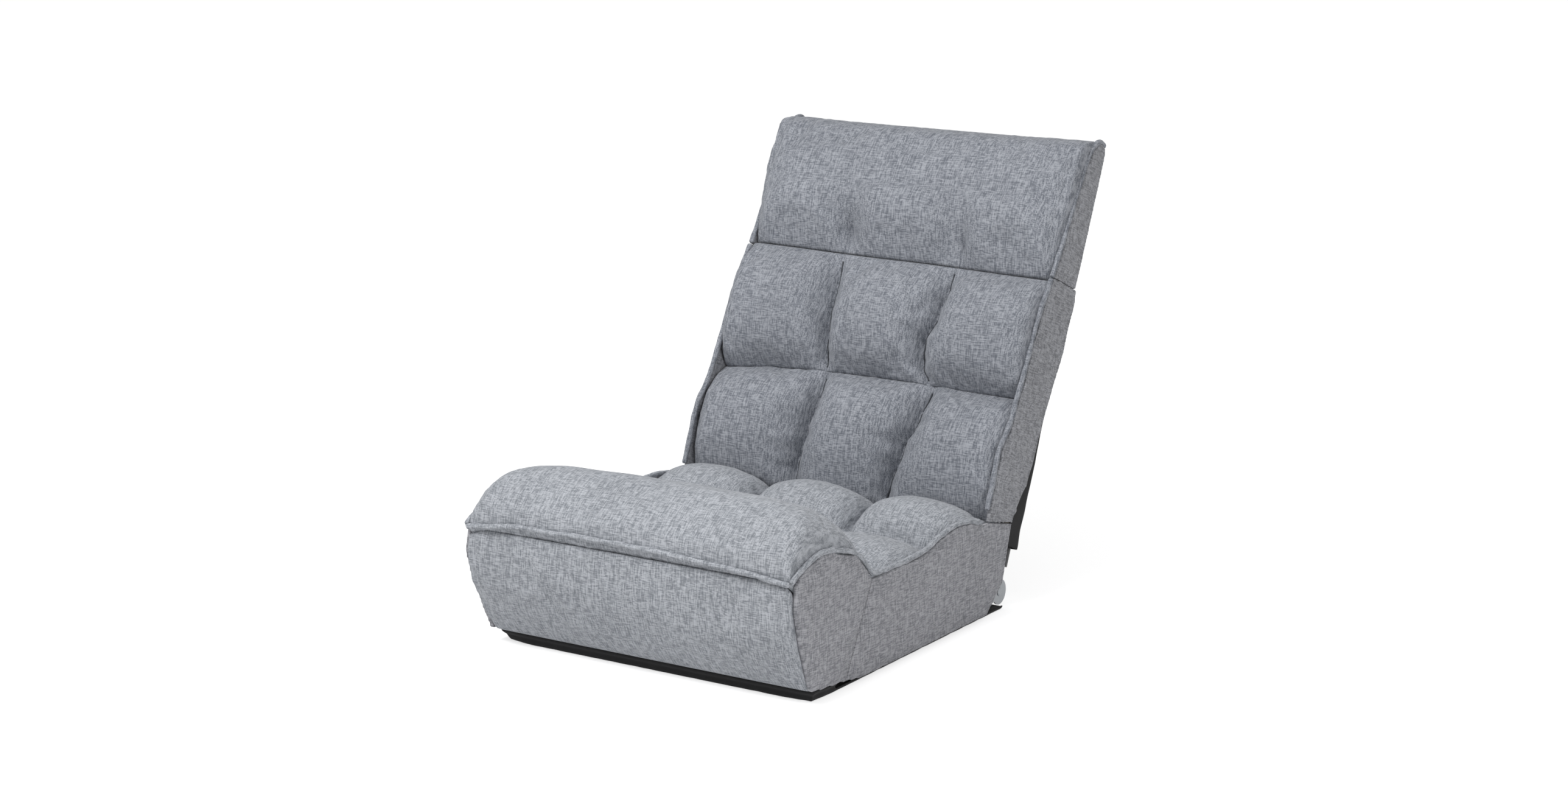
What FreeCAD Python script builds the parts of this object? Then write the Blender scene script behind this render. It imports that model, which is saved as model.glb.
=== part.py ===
import FreeCAD, Part
import math
import os
import Sketcher

# A folding floor chair: a padded seat that lies on the floor, a tufted back on two
# ratchet hinges at the rear of the seat, and a headrest on two more at the top of the back.
# Z is up, the chair faces -Y and +X is the sitter's left. The origin is the middle of the
# flat underside. All sizes are in millimetres and degrees.
#
# The back and the head are laid out in a leaning frame: u runs up the back's frame from the
# lower hinge, and t runs forward out of the back, square to u.

os.makedirs("parts", exist_ok=True)
doc = FreeCAD.newDocument("folding_floor_chair")
V = FreeCAD.Vector
sheet = doc.addObject("Spreadsheet::Sheet", "sizes")

SIZES = [
    ("pad_half_width", 261.7, "half the width of every pad"),
    ("soft_gap", 0.3, "clearance between a soft piece and its neighbour"),
    ("border_thick", 4.0, "side panels: fabric over thin foam"),
    ("tube_dia", 19.0, "steel tube of all the frames"),
    ("tube_wall", 1.5, "its wall"),
    ("frame_inset", 17.7, "centre line of the side tubes, in from the ends of the pads"),
    ("tube_bend", 45.0, "bend radius of the tube corners"),
    ("hinge_y", 265.0, "lower hinge axis, behind the middle of the base"),
    ("hinge_height", 22.5, "lower hinge axis above the floor"),
    ("back_lean", 23.3, "lean of the back's frame from upright"),
    ("back_length", 457.0, "lower hinge axis to head hinge axis"),
    ("seat_front_bar", 240.0, "front tube ahead of the middle"),
    ("bar_rear_y", 190.0, "rear cross bar of the seat"),
    ("bar_middle_y", -20.0, "middle cross bar of the seat"),
    ("back_bar_low", 112.0, "lower cross bar of the back, along u"),
    ("back_bar_drop", 85.0, "upper cross bar of the back, below the head hinge"),
    ("head_tube_drop", 33.0, "head tube's top bar below the top of the headrest"),
    ("strap_wide", 50.0, "webbing straps"),
    ("strap_thick", 1.5, "webbing straps"),
    ("seat_foam_front", -258.0, "front face of the seat foam"),
    ("seat_foam_rear", 155.0, "rear face of the seat foam"),
    ("seat_foam_top", 105.0, "top of the seat foam"),
    ("seat_rear_row_front", 70.0, "channel between the two rows of seat cells"),
    ("seat_rear_row_rear", 200.0, "rear of the rear row"),
    ("seat_rear_crown", 180.0, "highest point of the rear row"),
    ("seat_middle_crown", 158.0, "highest point of the second row"),
    ("row_foot", 119.0, "height of the seat cells at their channels"),
    ("rear_row_foot", 140.0, "height of the rear row where it meets the back"),
    ("bolster_rear", -112.0, "rear foot of the front roll"),
    ("front_seam_y", -318.0, "welt along the front"),
    ("front_seam_z", 188.0, "welt along the front, in the middle"),
    ("bolster_crown", 256.0, "top of the front roll"),
    ("panel_bottom", 18.3, "lower edge of the front panel"),
    ("panel_bulge", 17.0, "how far the front panel swells"),
    ("channel_x", 90.0, "channels between the cells, from the middle"),
    ("back_foam_front", 60.0, "front face of the back foam, along t"),
    ("back_foam_low", 100.0, "lower end of the back foam, along u"),
    ("foam_clear", 1.0, "clearance between the back foam and the head hinges' plates"),
    ("back_row_low", 93.0, "lower edge of the lower row, along u"),
    ("back_row_seam", 272.0, "seam between the two rows, along u"),
    ("head_seam_rise", 5.0, "seam between the back and the head, above the head hinge"),
    ("back_edge", 16.0, "height of the back pads at their seams"),
    ("lower_crown", 43.0, "crown of the lower row over its seams"),
    ("middle_crown", 34.0, "crown of the middle row over its seams"),
    ("head_crown", 34.0, "crown of the headrest over its edges"),
    ("head_height", 222.0, "headrest from its seam to its top, along u"),
    ("head_foam_rise", 12.0, "lower end of the head foam, above the head's seam"),
    ("head_foam_drop", 24.0, "upper end of the head foam, below the top of the headrest"),
    ("head_foam_thick_low", 47.0, "front face of the head foam at its lower end, along t"),
    ("head_foam_thick_high", 19.0, "front face of the head foam at its upper end, along t"),
    ("cover_low_rise", 20.0, "lower edge of the headrest's rear cover, above the head's seam"),
    ("cover_high_drop", 23.0, "upper edge of that cover, below the top of the headrest"),
    ("cloth_low", 78.0, "lower edge of the back's black cloth, along u"),
    ("cloth_drop", 8.0, "upper edge of that cloth, below the head hinge"),
    ("cloth_inset", 4.0, "side edges of that cloth, in from the ends of the pads"),
    ("apron_high", 190.0, "upper edge of the rear apron, along u"),
    ("apron_fold", 17.0, "fold of the rear apron, behind the black bottom"),
    ("apron_fold_height", 15.0, "that fold above the floor"),
    ("apron_inset", 12.0, "side edges of the apron, in from the side tubes"),
    ("cloth_thick", 1.5, "black cloth and thin covers"),
    ("bottom_thick", 3.0, "black bottom cover"),
    ("band_tall", 18.0, "black band at the front"),
    ("band_low", 5.0, "black band at the sides"),
    ("band_thick", 3.0, "black band"),
    ("base_front", -262.0, "front edge of the black bottom"),
    ("base_rear", 262.0, "rear edge of the black bottom"),
    ("piping_dia", 5.0, "piping and welt"),
    ("plate_radius", 19.0, "hinge plates round the axis"),
    ("plate_reach", 56.0, "hinge plates along their tube"),
    ("plate_thick", 2.0, "hinge plates"),
    ("flat_thick", 10.0, "flattened tube ends between the plates"),
    ("flat_start", 36.0, "flattened end from the axis"),
    ("plate_gap", 0.3, "clearance at each side of the flat end and of the wheel"),
    ("wheel_tip", 15.0, "ratchet wheel over its teeth"),
    ("wheel_root", 12.6, "ratchet wheel between its teeth"),
    ("wheel_teeth", 14.0, "teeth of the ratchet wheel"),
    ("arm_wide", 12.0, "tongue of the ratchet wheel in its tube"),
    ("arm_tall", 8.0, "thickness of that tongue"),
    ("arm_reach", 70.0, "length of that tongue from the axis"),
    ("tube_start", 38.0, "end of the moving tube from the axis"),
    ("pivot_dia", 8.0, "pivot rivet"),
    ("pivot_play", 0.05, "play of a rivet in a plate or a wheel, on the radius"),
    ("rivet_dia", 5.0, "rivets that hold the plates"),
    ("rivet_head", 2.0, "thickness of the rivet heads"),
]
for row, (alias, value, note) in enumerate(SIZES, start=1):
    sheet.set(f"A{row}", alias)
    sheet.set(f"B{row}", str(value))
    sheet.setAlias(f"B{row}", alias)
    sheet.set(f"C{row}", note)
doc.recompute()


def v(alias):
    return float(getattr(sheet, alias))


def ref(alias):
    return "sizes." + alias


gap = v("soft_gap")
tube_r = v("tube_dia") / 2
hinge = V(0, v("hinge_y"), v("hinge_height"))
lean = v("back_lean")
seat_place = FreeCAD.Placement()
# In the leaning frame, local Y is -t and local Z is u.
back_place = FreeCAD.Placement(hinge, FreeCAD.Rotation(V(1, 0, 0), -lean))
head_axis_u = v("back_length")
head_seam = head_axis_u + v("head_seam_rise")
head_top = head_seam + v("head_height")
frame_half = v("pad_half_width") - v("frame_inset")
FRAME_HALF = f"({ref('pad_half_width')} - {ref('frame_inset')})"
base_half = v("pad_half_width") + gap
BASE_HALF = f"({ref('pad_half_width')} + {ref('soft_gap')})"


def leaning(y, z):
    """A point of the side view, in the seat's frame, as local Y and Z of the leaning frame."""
    q = back_place.inverse().multVec(V(0, y, z))
    return (q.y, q.z)


pieces = []


def keep(obj, label):
    obj.Label = label
    pieces.append(obj)
    return obj


# --- helpers for sketches, bodies and soft lofts

def plane_of(body, role):
    for feature in body.Origin.OriginFeatures:
        if feature.Role == role:
            return feature


def sketch_on(body, role, name, offset=0.0):
    sk = body.newObject("Sketcher::SketchObject", name)
    sk.AttachmentSupport = (plane_of(body, role), [""])
    sk.MapMode = "FlatFace"
    sk.AttachmentOffset = FreeCAD.Placement(V(0, 0, offset), FreeCAD.Rotation())
    return sk


def closed_lines(sk, points):
    first = sk.GeometryCount
    count = len(points)
    for i in range(count):
        a = V(points[i][0], points[i][1], 0)
        b = V(points[(i + 1) % count][0], points[(i + 1) % count][1], 0)
        sk.addGeometry(Part.LineSegment(a, b), False)
    for i in range(count):
        sk.addConstraint(Sketcher.Constraint("Coincident", first + i, 2, first + (i + 1) % count, 1))


def circle_in(sk, x, y, radius, radius_ref=None):
    index = sk.addGeometry(Part.Circle(V(x, y, 0), V(0, 0, 1), radius), False)
    sk.addConstraint(Sketcher.Constraint("Radius", index, radius))
    number = sk.ConstraintCount - 1
    if radius_ref:
        sk.setExpression(f"Constraints[{number}]", radius_ref)
    return index


def pad_of(body, sk, name, length_ref, both_sides=False):
    pad = body.newObject("PartDesign::Pad", name)
    pad.Profile = sk
    if both_sides:
        pad.SideType = "Symmetric"
    pad.setExpression("Length", length_ref)
    sk.Visibility = False
    body.Tip = pad
    return pad


def plate(label, points, role, offset, length_ref, placement):
    """A flat piece: a closed outline padded by a named thickness."""
    body = doc.addObject("PartDesign::Body", label)
    sk = sketch_on(body, role, label + "_outline", offset)
    closed_lines(sk, points)
    pad_of(body, sk, label + "_pad", length_ref)
    body.Placement = placement
    return keep(body, label)


def side_pair(name, points, length_ref, placement):
    """The same side-view outline as a panel at the left and at the right of the chair."""
    inside = v("pad_half_width") + gap
    plate(name + "_right", points, "YZ_Plane", -inside - v("border_thick"), length_ref, placement)
    plate(name + "_left", points, "YZ_Plane", inside, length_ref, placement)


def rounded_path(points, share=0.45):
    """Straight runs joined by tangent arcs, each as large as its two runs allow."""
    pts = [V(*p) for p in points]
    edges = []
    start = pts[0]
    for i in range(1, len(pts) - 1):
        a, b, c = pts[i - 1], pts[i], pts[i + 1]
        d1 = (b - a).normalize()
        d2 = (c - b).normalize()
        turn = d1.getAngle(d2)
        reach = share * min((b - a).Length, (c - b).Length)
        radius = reach / math.tan(turn / 2)
        p1 = b - d1 * reach
        p2 = b + d2 * reach
        inward = (d2 - d1).normalize()
        centre = b + inward * (radius / math.cos(turn / 2))
        middle = centre + (b - centre).normalize() * radius
        edges.append(Part.LineSegment(start, p1).toShape())
        edges.append(Part.Arc(p1, middle, p2).toShape())
        start = p2
    edges.append(Part.LineSegment(start, pts[-1]).toShape())
    return Part.Wire(edges)


def cord(path, diameter):
    first = path.Edges[0]
    start = first.valueAt(first.FirstParameter)
    along = first.tangentAt(first.FirstParameter)
    ring = Part.Wire(Part.Circle(start, along, diameter / 2).toShape())
    return path.makePipeShell([ring], True, False)


def solid_feature(label, shape, placement):
    feature = doc.addObject("Part::Feature", label)
    feature.Shape = shape
    feature.Placement = placement
    return keep(feature, label)


def section(x, lines, arcs_at):
    """A closed side-view section at x. The points with an index in arcs_at are mid-points of arcs."""
    edges = []
    count = len(lines)
    i = 0
    while i < count:
        a = V(x, *lines[i])
        if (i + 1) % count in arcs_at:
            m = V(x, *lines[(i + 1) % count])
            b = V(x, *lines[(i + 2) % count])
            edges.append(Part.Arc(a, m, b).toShape())
            i += 2
        else:
            b = V(x, *lines[(i + 1) % count])
            edges.append(Part.LineSegment(a, b).toShape())
            i += 1
    return Part.Wire(edges)


def cell_stations(end_share, channel_share):
    """Even positions across a row of three cells, with the share of the full crown at each one."""
    half = v("pad_half_width")
    channel = v("channel_x")
    spots = [channel * n / 4 for n in range(5)]
    spots += [channel + (half - channel) * n / 8 for n in range(1, 9)]
    shares = []
    for x in spots:
        if x <= channel:
            off, low = min(1.0, x / channel), channel_share
        else:
            off = (x - (half + channel) / 2) / ((half - channel) / 2)
            low = end_share if off > 0 else channel_share
            off = min(1.0, abs(off))
        shares.append(low + (1 - low) * (1 - off ** 2.4) ** 0.85)
    right = list(zip(spots, shares))
    return [(-x, share) for x, share in reversed(right[1:])] + right


def tufted_row(label, profile, end_share, channel_share, placement):
    wires = [section(x, *profile(share)) for x, share in cell_stations(end_share, channel_share)]
    return solid_feature(label, Part.makeLoft(wires, True, False), placement)


def even_stations(shape_at):
    """Even positions across the chair, closer together at the ends."""
    half = v("pad_half_width")
    spots = [half * math.sin(math.pi / 2 * n / 9) for n in range(-9, 10)]
    return [(x, shape_at(abs(x) / half)) for x in spots]


# --- hinges: two plates, pivot rivet, rivets, ratchet wheel with its tongue, pawl and spring
# Each hinge is laid out with local X away from its fixed tube's end, local Y to the pawl's
# side and local Z along the pivot, and is then set across the chair.

def hinge_place(side, axis_point, fixed_direction, pawl_direction, placement):
    """Local X along the fixed tube, Y to the pawl's side; Z is whichever way X cross Y points."""
    z = fixed_direction.cross(pawl_direction)
    turn = FreeCAD.Rotation(fixed_direction, pawl_direction, z, "XYZ")
    at = V(side * frame_half, axis_point.y, axis_point.z)
    return placement.multiply(FreeCAD.Placement(at, turn))


PAWL_PIVOT = (29.0, 10.0)
PLATE_TOP = 16.0
PLATE_FOOT = 12.0
RIVETS = ((44.0, 0.0), (53.0, 0.0))


def hinge_plates(label, place):
    """Two pressed plates in one node, each with the holes for its pivot, pawl and rivets."""
    parts = []
    inner = v("flat_thick") / 2 + v("plate_gap")
    for sign, tag in ((1, "a"), (-1, "b")):
        low = inner if sign > 0 else -inner - v("plate_thick")
        disc = doc.addObject("Part::Cylinder", f"{label}_disc_{tag}")
        disc.setExpression("Radius", ref("plate_radius"))
        disc.setExpression("Height", ref("plate_thick"))
        disc.Placement.Base = V(0, 0, low)
        strip = doc.addObject("Part::Box", f"{label}_strip_{tag}")
        strip.setExpression("Length", ref("plate_reach"))
        strip.Width = PLATE_TOP + PLATE_FOOT
        strip.setExpression("Height", ref("plate_thick"))
        strip.Placement.Base = V(0, -PLATE_FOOT, low)
        whole = doc.addObject("Part::Fuse", f"{label}_blank_{tag}")
        whole.Base = disc
        whole.Tool = strip
        holes = []
        wanted = [(0.0, 0.0, "pivot_dia")]
        wanted += [(*PAWL_PIVOT, "rivet_dia")]
        wanted += [(x, y, "rivet_dia") for x, y in RIVETS]
        for n, (x, y, size) in enumerate(wanted):
            hole = doc.addObject("Part::Cylinder", f"{label}_hole_{tag}{n}")
            hole.setExpression("Radius", f"{ref(size)} / 2 + {ref('pivot_play')}")
            hole.Height = v("plate_thick") + 4
            hole.Placement.Base = V(x, y, low - 2)
            holes.append(hole)
        tool = doc.addObject("Part::MultiFuse", f"{label}_holes_{tag}")
        tool.Shapes = holes
        cut = doc.addObject("Part::Cut", f"{label}_plate_{tag}")
        cut.Base = whole
        cut.Tool = tool
        parts.append(cut)
    both = doc.addObject("Part::Compound", label)
    both.Links = parts
    both.Placement = place
    return keep(both, label)


def rivet(name, size, x, y, place):
    """A rivet turned about its own axis: shank through both plates and a head at each end."""
    reach = v("flat_thick") / 2 + v("plate_gap") + v("plate_thick")
    shank = v(size) / 2
    head = shank * 1.6
    end = reach + 0.05
    tall = v("rivet_head")
    pts = [
        (0, -end - tall), (head * 0.7, -end - tall), (head, -end - tall * 0.4), (head, -end), (shank, -end),
        (shank, end), (head, end), (head, end + tall * 0.4), (head * 0.7, end + tall), (0, end + tall),
    ]
    body = doc.addObject("PartDesign::Body", name)
    sk = sketch_on(body, "XZ_Plane", name + "_half")
    closed_lines(sk, pts)
    turned = body.newObject("PartDesign::Revolution", name + "_turned")
    turned.Profile = sk
    turned.ReferenceAxis = (sk, ["V_Axis"])
    turned.Angle = 360
    sk.Visibility = False
    body.Tip = turned
    body.Placement = place.multiply(FreeCAD.Placement(V(x, y, 0), FreeCAD.Rotation()))
    return body


def rivet_group(label, size, spots, places):
    made = []
    for n, place in enumerate(places):
        for m, (x, y) in enumerate(spots):
            made.append(rivet(f"{label}_{n}{m}", size, x, y, place))
    group = doc.addObject("Part::Compound", label)
    group.Links = made
    return keep(group, label)


def ratchet_wheel(label, arm_angle, place):
    """The toothed wheel and its tongue, which runs off at arm_angle inside the moving tube."""
    body = doc.addObject("PartDesign::Body", label)
    blank = sketch_on(body, "XY_Plane", label + "_root")
    circle_in(blank, 0, 0, v("wheel_root"), ref("wheel_root"))
    pad_of(body, blank, label + "_blank", ref("flat_thick"), True)
    count = int(v("wheel_teeth"))
    step = 2 * math.pi / count
    root = v("wheel_root") - 0.6
    tooth = sketch_on(body, "XY_Plane", label + "_tooth")
    base_a = (root * math.cos(-step * 0.45), root * math.sin(-step * 0.45))
    base_b = (root * math.cos(step * 0.45), root * math.sin(step * 0.45))
    tip = (v("wheel_tip") * math.cos(step * 0.38), v("wheel_tip") * math.sin(step * 0.38))
    closed_lines(tooth, [base_a, tip, base_b])
    one = pad_of(body, tooth, label + "_tooth_pad", ref("flat_thick"), True)
    doc.recompute()
    ring = body.newObject("PartDesign::PolarPattern", label + "_teeth")
    ring.Originals = [one]
    ring.Axis = (tooth, ["N_Axis"])
    ring.Angle = 360
    ring.Occurrences = count
    body.Tip = ring
    tongue = sketch_on(body, "XY_Plane", label + "_tongue")
    along = V(math.cos(arm_angle), math.sin(arm_angle), 0)
    across = V(-along.y, along.x, 0) * (v("arm_wide") / 2)
    near = along * (v("pivot_dia") * 0.75)
    far = along * v("arm_reach")
    closed_lines(tongue, [(q.x, q.y) for q in (near - across, far - across, far + across, near + across)])
    pad_of(body, tongue, label + "_tongue_pad", ref("arm_tall"), True)
    bore = sketch_on(body, "XY_Plane", label + "_bore")
    circle_in(bore, 0, 0, v("pivot_dia") / 2 + v("pivot_play"), f"{ref('pivot_dia')} / 2 + {ref('pivot_play')}")
    hole = body.newObject("PartDesign::Pocket", label + "_bore_cut")
    hole.Profile = bore
    hole.Type = "ThroughAll"
    hole.SideType = "Symmetric"
    bore.Visibility = False
    body.Tip = hole
    body.Placement = place
    return keep(body, label)


def pawl(label, place):
    """The catch: a hub on its rivet and a finger whose tip stands just off the teeth."""
    body = doc.addObject("PartDesign::Body", label)
    x, y = PAWL_PIVOT
    tip = v("wheel_tip") + 0.8
    sk = sketch_on(body, "XY_Plane", label + "_finger")
    closed_lines(sk, [(tip, 1.5), (tip + 1.9, -1.9), (x + 2.2, y - 3.2), (x - 2.2, y + 3.2)])
    pad_of(body, sk, label + "_finger_pad", ref("flat_thick"), True)
    hub = sketch_on(body, "XY_Plane", label + "_hub")
    circle_in(hub, x, y, 4.0)
    pad_of(body, hub, label + "_hub_pad", ref("flat_thick"), True)
    bore = sketch_on(body, "XY_Plane", label + "_bore")
    circle_in(bore, x, y, v("rivet_dia") / 2 + v("pivot_play"), f"{ref('rivet_dia')} / 2 + {ref('pivot_play')}")
    hole = body.newObject("PartDesign::Pocket", label + "_bore_cut")
    hole.Profile = bore
    hole.Type = "ThroughAll"
    hole.SideType = "Symmetric"
    bore.Visibility = False
    body.Tip = hole
    body.Placement = place
    return keep(body, label)


def leaf_spring(label, place):
    """A bent steel strip that lies on the flattened tube end and presses on the pawl's hub."""
    top = v("tube_dia") / 2 - 1.5 + gap
    pts = [(55, top), (41, top), (31.4, 14.1), (31.4, 14.7), (41.3, top + 0.6), (55, top + 0.6)]
    body = doc.addObject("PartDesign::Body", label)
    sk = sketch_on(body, "XY_Plane", label + "_bend")
    closed_lines(sk, pts)
    pad_of(body, sk, label + "_strip", ref("arm_tall"), True)
    body.Placement = place
    return keep(body, label)


def bent_tube(label, points, flats, placement, ends_up):
    """A bent steel tube with flattened ends. The path lies in the local XY or XZ plane."""
    body = doc.addObject("PartDesign::Body", label + "_pipe")
    role = "XZ_Plane" if ends_up else "XY_Plane"
    path = sketch_on(body, role, label + "_path")
    flat = [(p[0], p[1], 0) for p in points]
    wire = rounded_path_radius(flat, v("tube_bend"))
    first = 0
    for edge in wire.Edges:
        if isinstance(edge.Curve, Part.Line):
            geometry = Part.LineSegment(edge.valueAt(edge.FirstParameter), edge.valueAt(edge.LastParameter))
        else:
            geometry = Part.Arc(
                edge.valueAt(edge.FirstParameter),
                edge.valueAt((edge.FirstParameter + edge.LastParameter) / 2),
                edge.valueAt(edge.LastParameter),
            )
        path.addGeometry(geometry, False)
        first += 1
    # The ring stands square to the first run, which is along local Y (or local Z).
    ring_role = "XY_Plane" if ends_up else "XZ_Plane"
    start = points[0]
    offset = start[1] if ends_up else -start[1]
    ring = sketch_on(body, ring_role, label + "_ring", offset)
    circle_in(ring, start[0], 0, v("tube_dia") / 2, f"{ref('tube_dia')} / 2")
    circle_in(ring, start[0], 0, v("tube_dia") / 2 - v("tube_wall"), f"{ref('tube_dia')} / 2 - {ref('tube_wall')}")
    doc.recompute()
    pipe = body.newObject("PartDesign::AdditivePipe", label + "_sweep")
    pipe.Profile = ring
    pipe.Spine = (path, [])
    body.Tip = pipe
    path.Visibility = False
    ring.Visibility = False
    body.Placement = placement
    return body


def rounded_path_radius(points, radius):
    """Straight runs joined by arcs of one bend radius."""
    pts = [V(*p) for p in points]
    edges = []
    start = pts[0]
    for i in range(1, len(pts) - 1):
        a, b, c = pts[i - 1], pts[i], pts[i + 1]
        d1 = (b - a).normalize()
        d2 = (c - b).normalize()
        turn = d1.getAngle(d2)
        reach = radius * math.tan(turn / 2)
        p1 = b - d1 * reach
        p2 = b + d2 * reach
        inward = (d2 - d1).normalize()
        centre = b + inward * (radius / math.cos(turn / 2))
        middle = centre + (b - centre).normalize() * radius
        edges.append(Part.LineSegment(start, p1).toShape())
        edges.append(Part.Arc(p1, middle, p2).toShape())
        start = p2
    edges.append(Part.LineSegment(start, pts[-1]).toShape())
    return Part.Wire(edges)


def flat_end(name, x, low, high, ends_up):
    """The pressed-flat end of a tube, which the hinge plates grip."""
    box = doc.addObject("Part::Box", name)
    box.setExpression("Length", ref("flat_thick"))
    tall = v("tube_dia") - 3.0
    if ends_up:
        box.Width = tall
        box.Height = high - low
        box.Placement.Base = V(x - v("flat_thick") / 2, -tall / 2, low)
    else:
        box.Width = high - low
        box.Height = tall
        box.Placement.Base = V(x - v("flat_thick") / 2, low, -tall / 2)
    return box


def drilled(label, blank, holes, placement):
    """The tube with the rivet holes through its flattened ends."""
    tools = []
    for n, (x, y, z) in enumerate(holes):
        drill = doc.addObject("Part::Cylinder", f"{label}_drill_{n}")
        drill.setExpression("Radius", f"{ref('rivet_dia')} / 2 + {ref('pivot_play')}")
        drill.Height = 24
        drill.Placement = FreeCAD.Placement(V(x - 12, y, z), FreeCAD.Rotation(V(0, 1, 0), 90))
        tools.append(drill)
    group = doc.addObject("Part::MultiFuse", label + "_drills")
    group.Shapes = tools
    cut = doc.addObject("Part::Cut", label)
    cut.Base = blank
    cut.Tool = group
    cut.Placement = placement
    return keep(cut, label)


def fused(name, shapes):
    whole = doc.addObject("Part::MultiFuse", name)
    whole.Shapes = shapes
    return whole


def cross_bars(label, spots, placement):
    """Straight tubes between the side tubes, at local (Y, Z) spots."""
    made = []
    reach = frame_half - tube_r - gap
    for n, (y, z) in enumerate(spots):
        outer = doc.addObject("Part::Cylinder", f"{label}_outer_{n}")
        outer.setExpression("Radius", f"{ref('tube_dia')} / 2")
        bore = doc.addObject("Part::Cylinder", f"{label}_bore_{n}")
        bore.setExpression("Radius", f"{ref('tube_dia')} / 2 - {ref('tube_wall')}")
        for cylinder in (outer, bore):
            cylinder.setExpression("Height", f"2 * ({FRAME_HALF} - {ref('tube_dia')} / 2 - {ref('soft_gap')})")
            cylinder.Placement = FreeCAD.Placement(V(-reach, y, z), FreeCAD.Rotation(V(0, 1, 0), 90))
        bar = doc.addObject("Part::Cut", f"{label}_bar_{n}")
        bar.Base = outer
        bar.Tool = bore
        made.append(bar)
    group = doc.addObject("Part::Compound", label)
    group.Links = made
    group.Placement = placement
    return keep(group, label)


def straps(label, spots, placement, ends_up):
    """Webbing straps across the frame, lying on the side tubes."""
    made = []
    for n, place in enumerate(spots):
        strap = doc.addObject("Part::Box", f"{label}_strap_{n}")
        strap.setExpression("Length", f"2 * {FRAME_HALF}")
        if ends_up:
            strap.setExpression("Width", ref("strap_thick"))
            strap.setExpression("Height", ref("strap_wide"))
            y = -tube_r - gap - v("strap_thick")
            strap.Placement.Base = V(-frame_half, y, place - v("strap_wide") / 2)
        else:
            strap.setExpression("Width", ref("strap_wide"))
            strap.setExpression("Height", ref("strap_thick"))
            z = v("hinge_height") + tube_r + gap
            strap.Placement.Base = V(-frame_half, place - v("strap_wide") / 2, z)
        made.append(strap)
    group = doc.addObject("Part::Compound", label)
    group.Links = made
    group.Placement = placement
    return keep(group, label)


# --- the seat: tube frame, bars, webbing and foam

flat_low = v("hinge_y") - v("plate_reach") - 6
flat_high = v("hinge_y") - v("flat_start")
half = frame_half
seat_path = [(-half, flat_low), (-half, -v("seat_front_bar")), (half, -v("seat_front_bar")), (half, flat_low)]
seat_pipe = bent_tube("seat_frame_tube", seat_path, None, FreeCAD.Placement(), False)
seat_blank = fused("seat_frame_blank", [
    seat_pipe,
    flat_end("seat_flat_right", -half, flat_low - 12, flat_high, False),
    flat_end("seat_flat_left", half, flat_low - 12, flat_high, False),
])
seat_holes = [(s * half, v("hinge_y") - x, 0.0) for s in (-1, 1) for x, y in RIVETS]
drilled("seat_frame_tube", seat_blank, seat_holes, FreeCAD.Placement(V(0, 0, v("hinge_height")), FreeCAD.Rotation()))
cross_bars("seat_cross_bars", [
    (v("bar_rear_y"), v("hinge_height")),
    (v("bar_middle_y"), v("hinge_height")),
], seat_place)
SEAT_STRAPS = (-165.0, -95.0, 25.0, 95.0)
straps("seat_webbing", SEAT_STRAPS, seat_place, False)

slab_low = v("hinge_height") + tube_r + v("strap_thick") + 2 * gap
foam = doc.addObject("Part::Box", "seat_foam")
foam.setExpression("Length", f"2 * {ref('pad_half_width')}")
foam.setExpression("Width", f"{ref('seat_foam_rear')} - {ref('seat_foam_front')}")
foam.setExpression("Height", f"{ref('seat_foam_top')} - {slab_low}")
foam.Placement.Base = V(-v("pad_half_width"), v("seat_foam_front"), slab_low)
keep(foam, "seat_foam")

# --- the seat's soft pieces

pad_low = v("seat_foam_top") + gap
row_front = v("seat_rear_row_front")
row_rear = v("seat_rear_row_rear")


def rear_row(share):
    foot = v("row_foot")
    top = foot + (v("seat_rear_crown") - foot) * share
    return [
        (row_front, pad_low), (row_front, foot), ((row_front + row_rear) / 2 + 6, top),
        (row_rear, v("rear_row_foot")), (row_rear, pad_low),
    ], (2,)


def middle_row(share):
    foot = v("row_foot")
    top = foot + (v("seat_middle_crown") - foot) * share
    front = v("bolster_rear") + gap
    rear = row_front - gap
    return [(front, pad_low), (front, foot), ((front + rear) / 2, top), (rear, foot), (rear, pad_low)], (2,)


tufted_row("seat_pad_rear", rear_row, 0.55, 0.30, seat_place)
tufted_row("seat_pad_middle", middle_row, 0.45, 0.30, seat_place)

seam_y = v("front_seam_y")
seam_z = v("front_seam_z")
crown = v("bolster_crown")
roll_rear = v("bolster_rear")


roll_under = v("seat_foam_front") + 8
ROLL_REAR_FOOT = 134.0


def welt_foot(drop):
    """Height of the roll's front foot, just under the welt."""
    return seam_z - 6 - 0.22 * drop


def under_roll(y, drop):
    """Height of the roll's slanted underside at y."""
    return pad_low + (welt_foot(drop) - pad_low) * (roll_under - y) / (roll_under - seam_y)


def bolster_section(x, drop):
    """The roll: flat on the foam, its front foot on the welt and its top drawn in at the ends."""
    top = crown - drop
    low = welt_foot(drop) + 6
    nose = top - low
    crest_y = seam_y + nose
    # The rear arc is level at the crest and ends at the roll's rear foot.
    reach = roll_rear - crest_y
    centre_z = (reach ** 2 + ROLL_REAR_FOOT ** 2 - top ** 2) / (2 * (ROLL_REAR_FOOT - top))
    half_turn = math.atan2(reach, ROLL_REAR_FOOT - centre_z) / 2
    rear_radius = top - centre_z
    slant = math.sqrt(0.5)
    return section(x, [
        (seam_y, low - 6), (seam_y, low), (seam_y + nose * (1 - slant), low + nose * slant), (crest_y, top),
        (crest_y + rear_radius * math.sin(half_turn), centre_z + rear_radius * math.cos(half_turn)),
        (roll_rear, ROLL_REAR_FOOT), (roll_rear, pad_low), (roll_under, pad_low),
    ], (2, 4))


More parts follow.
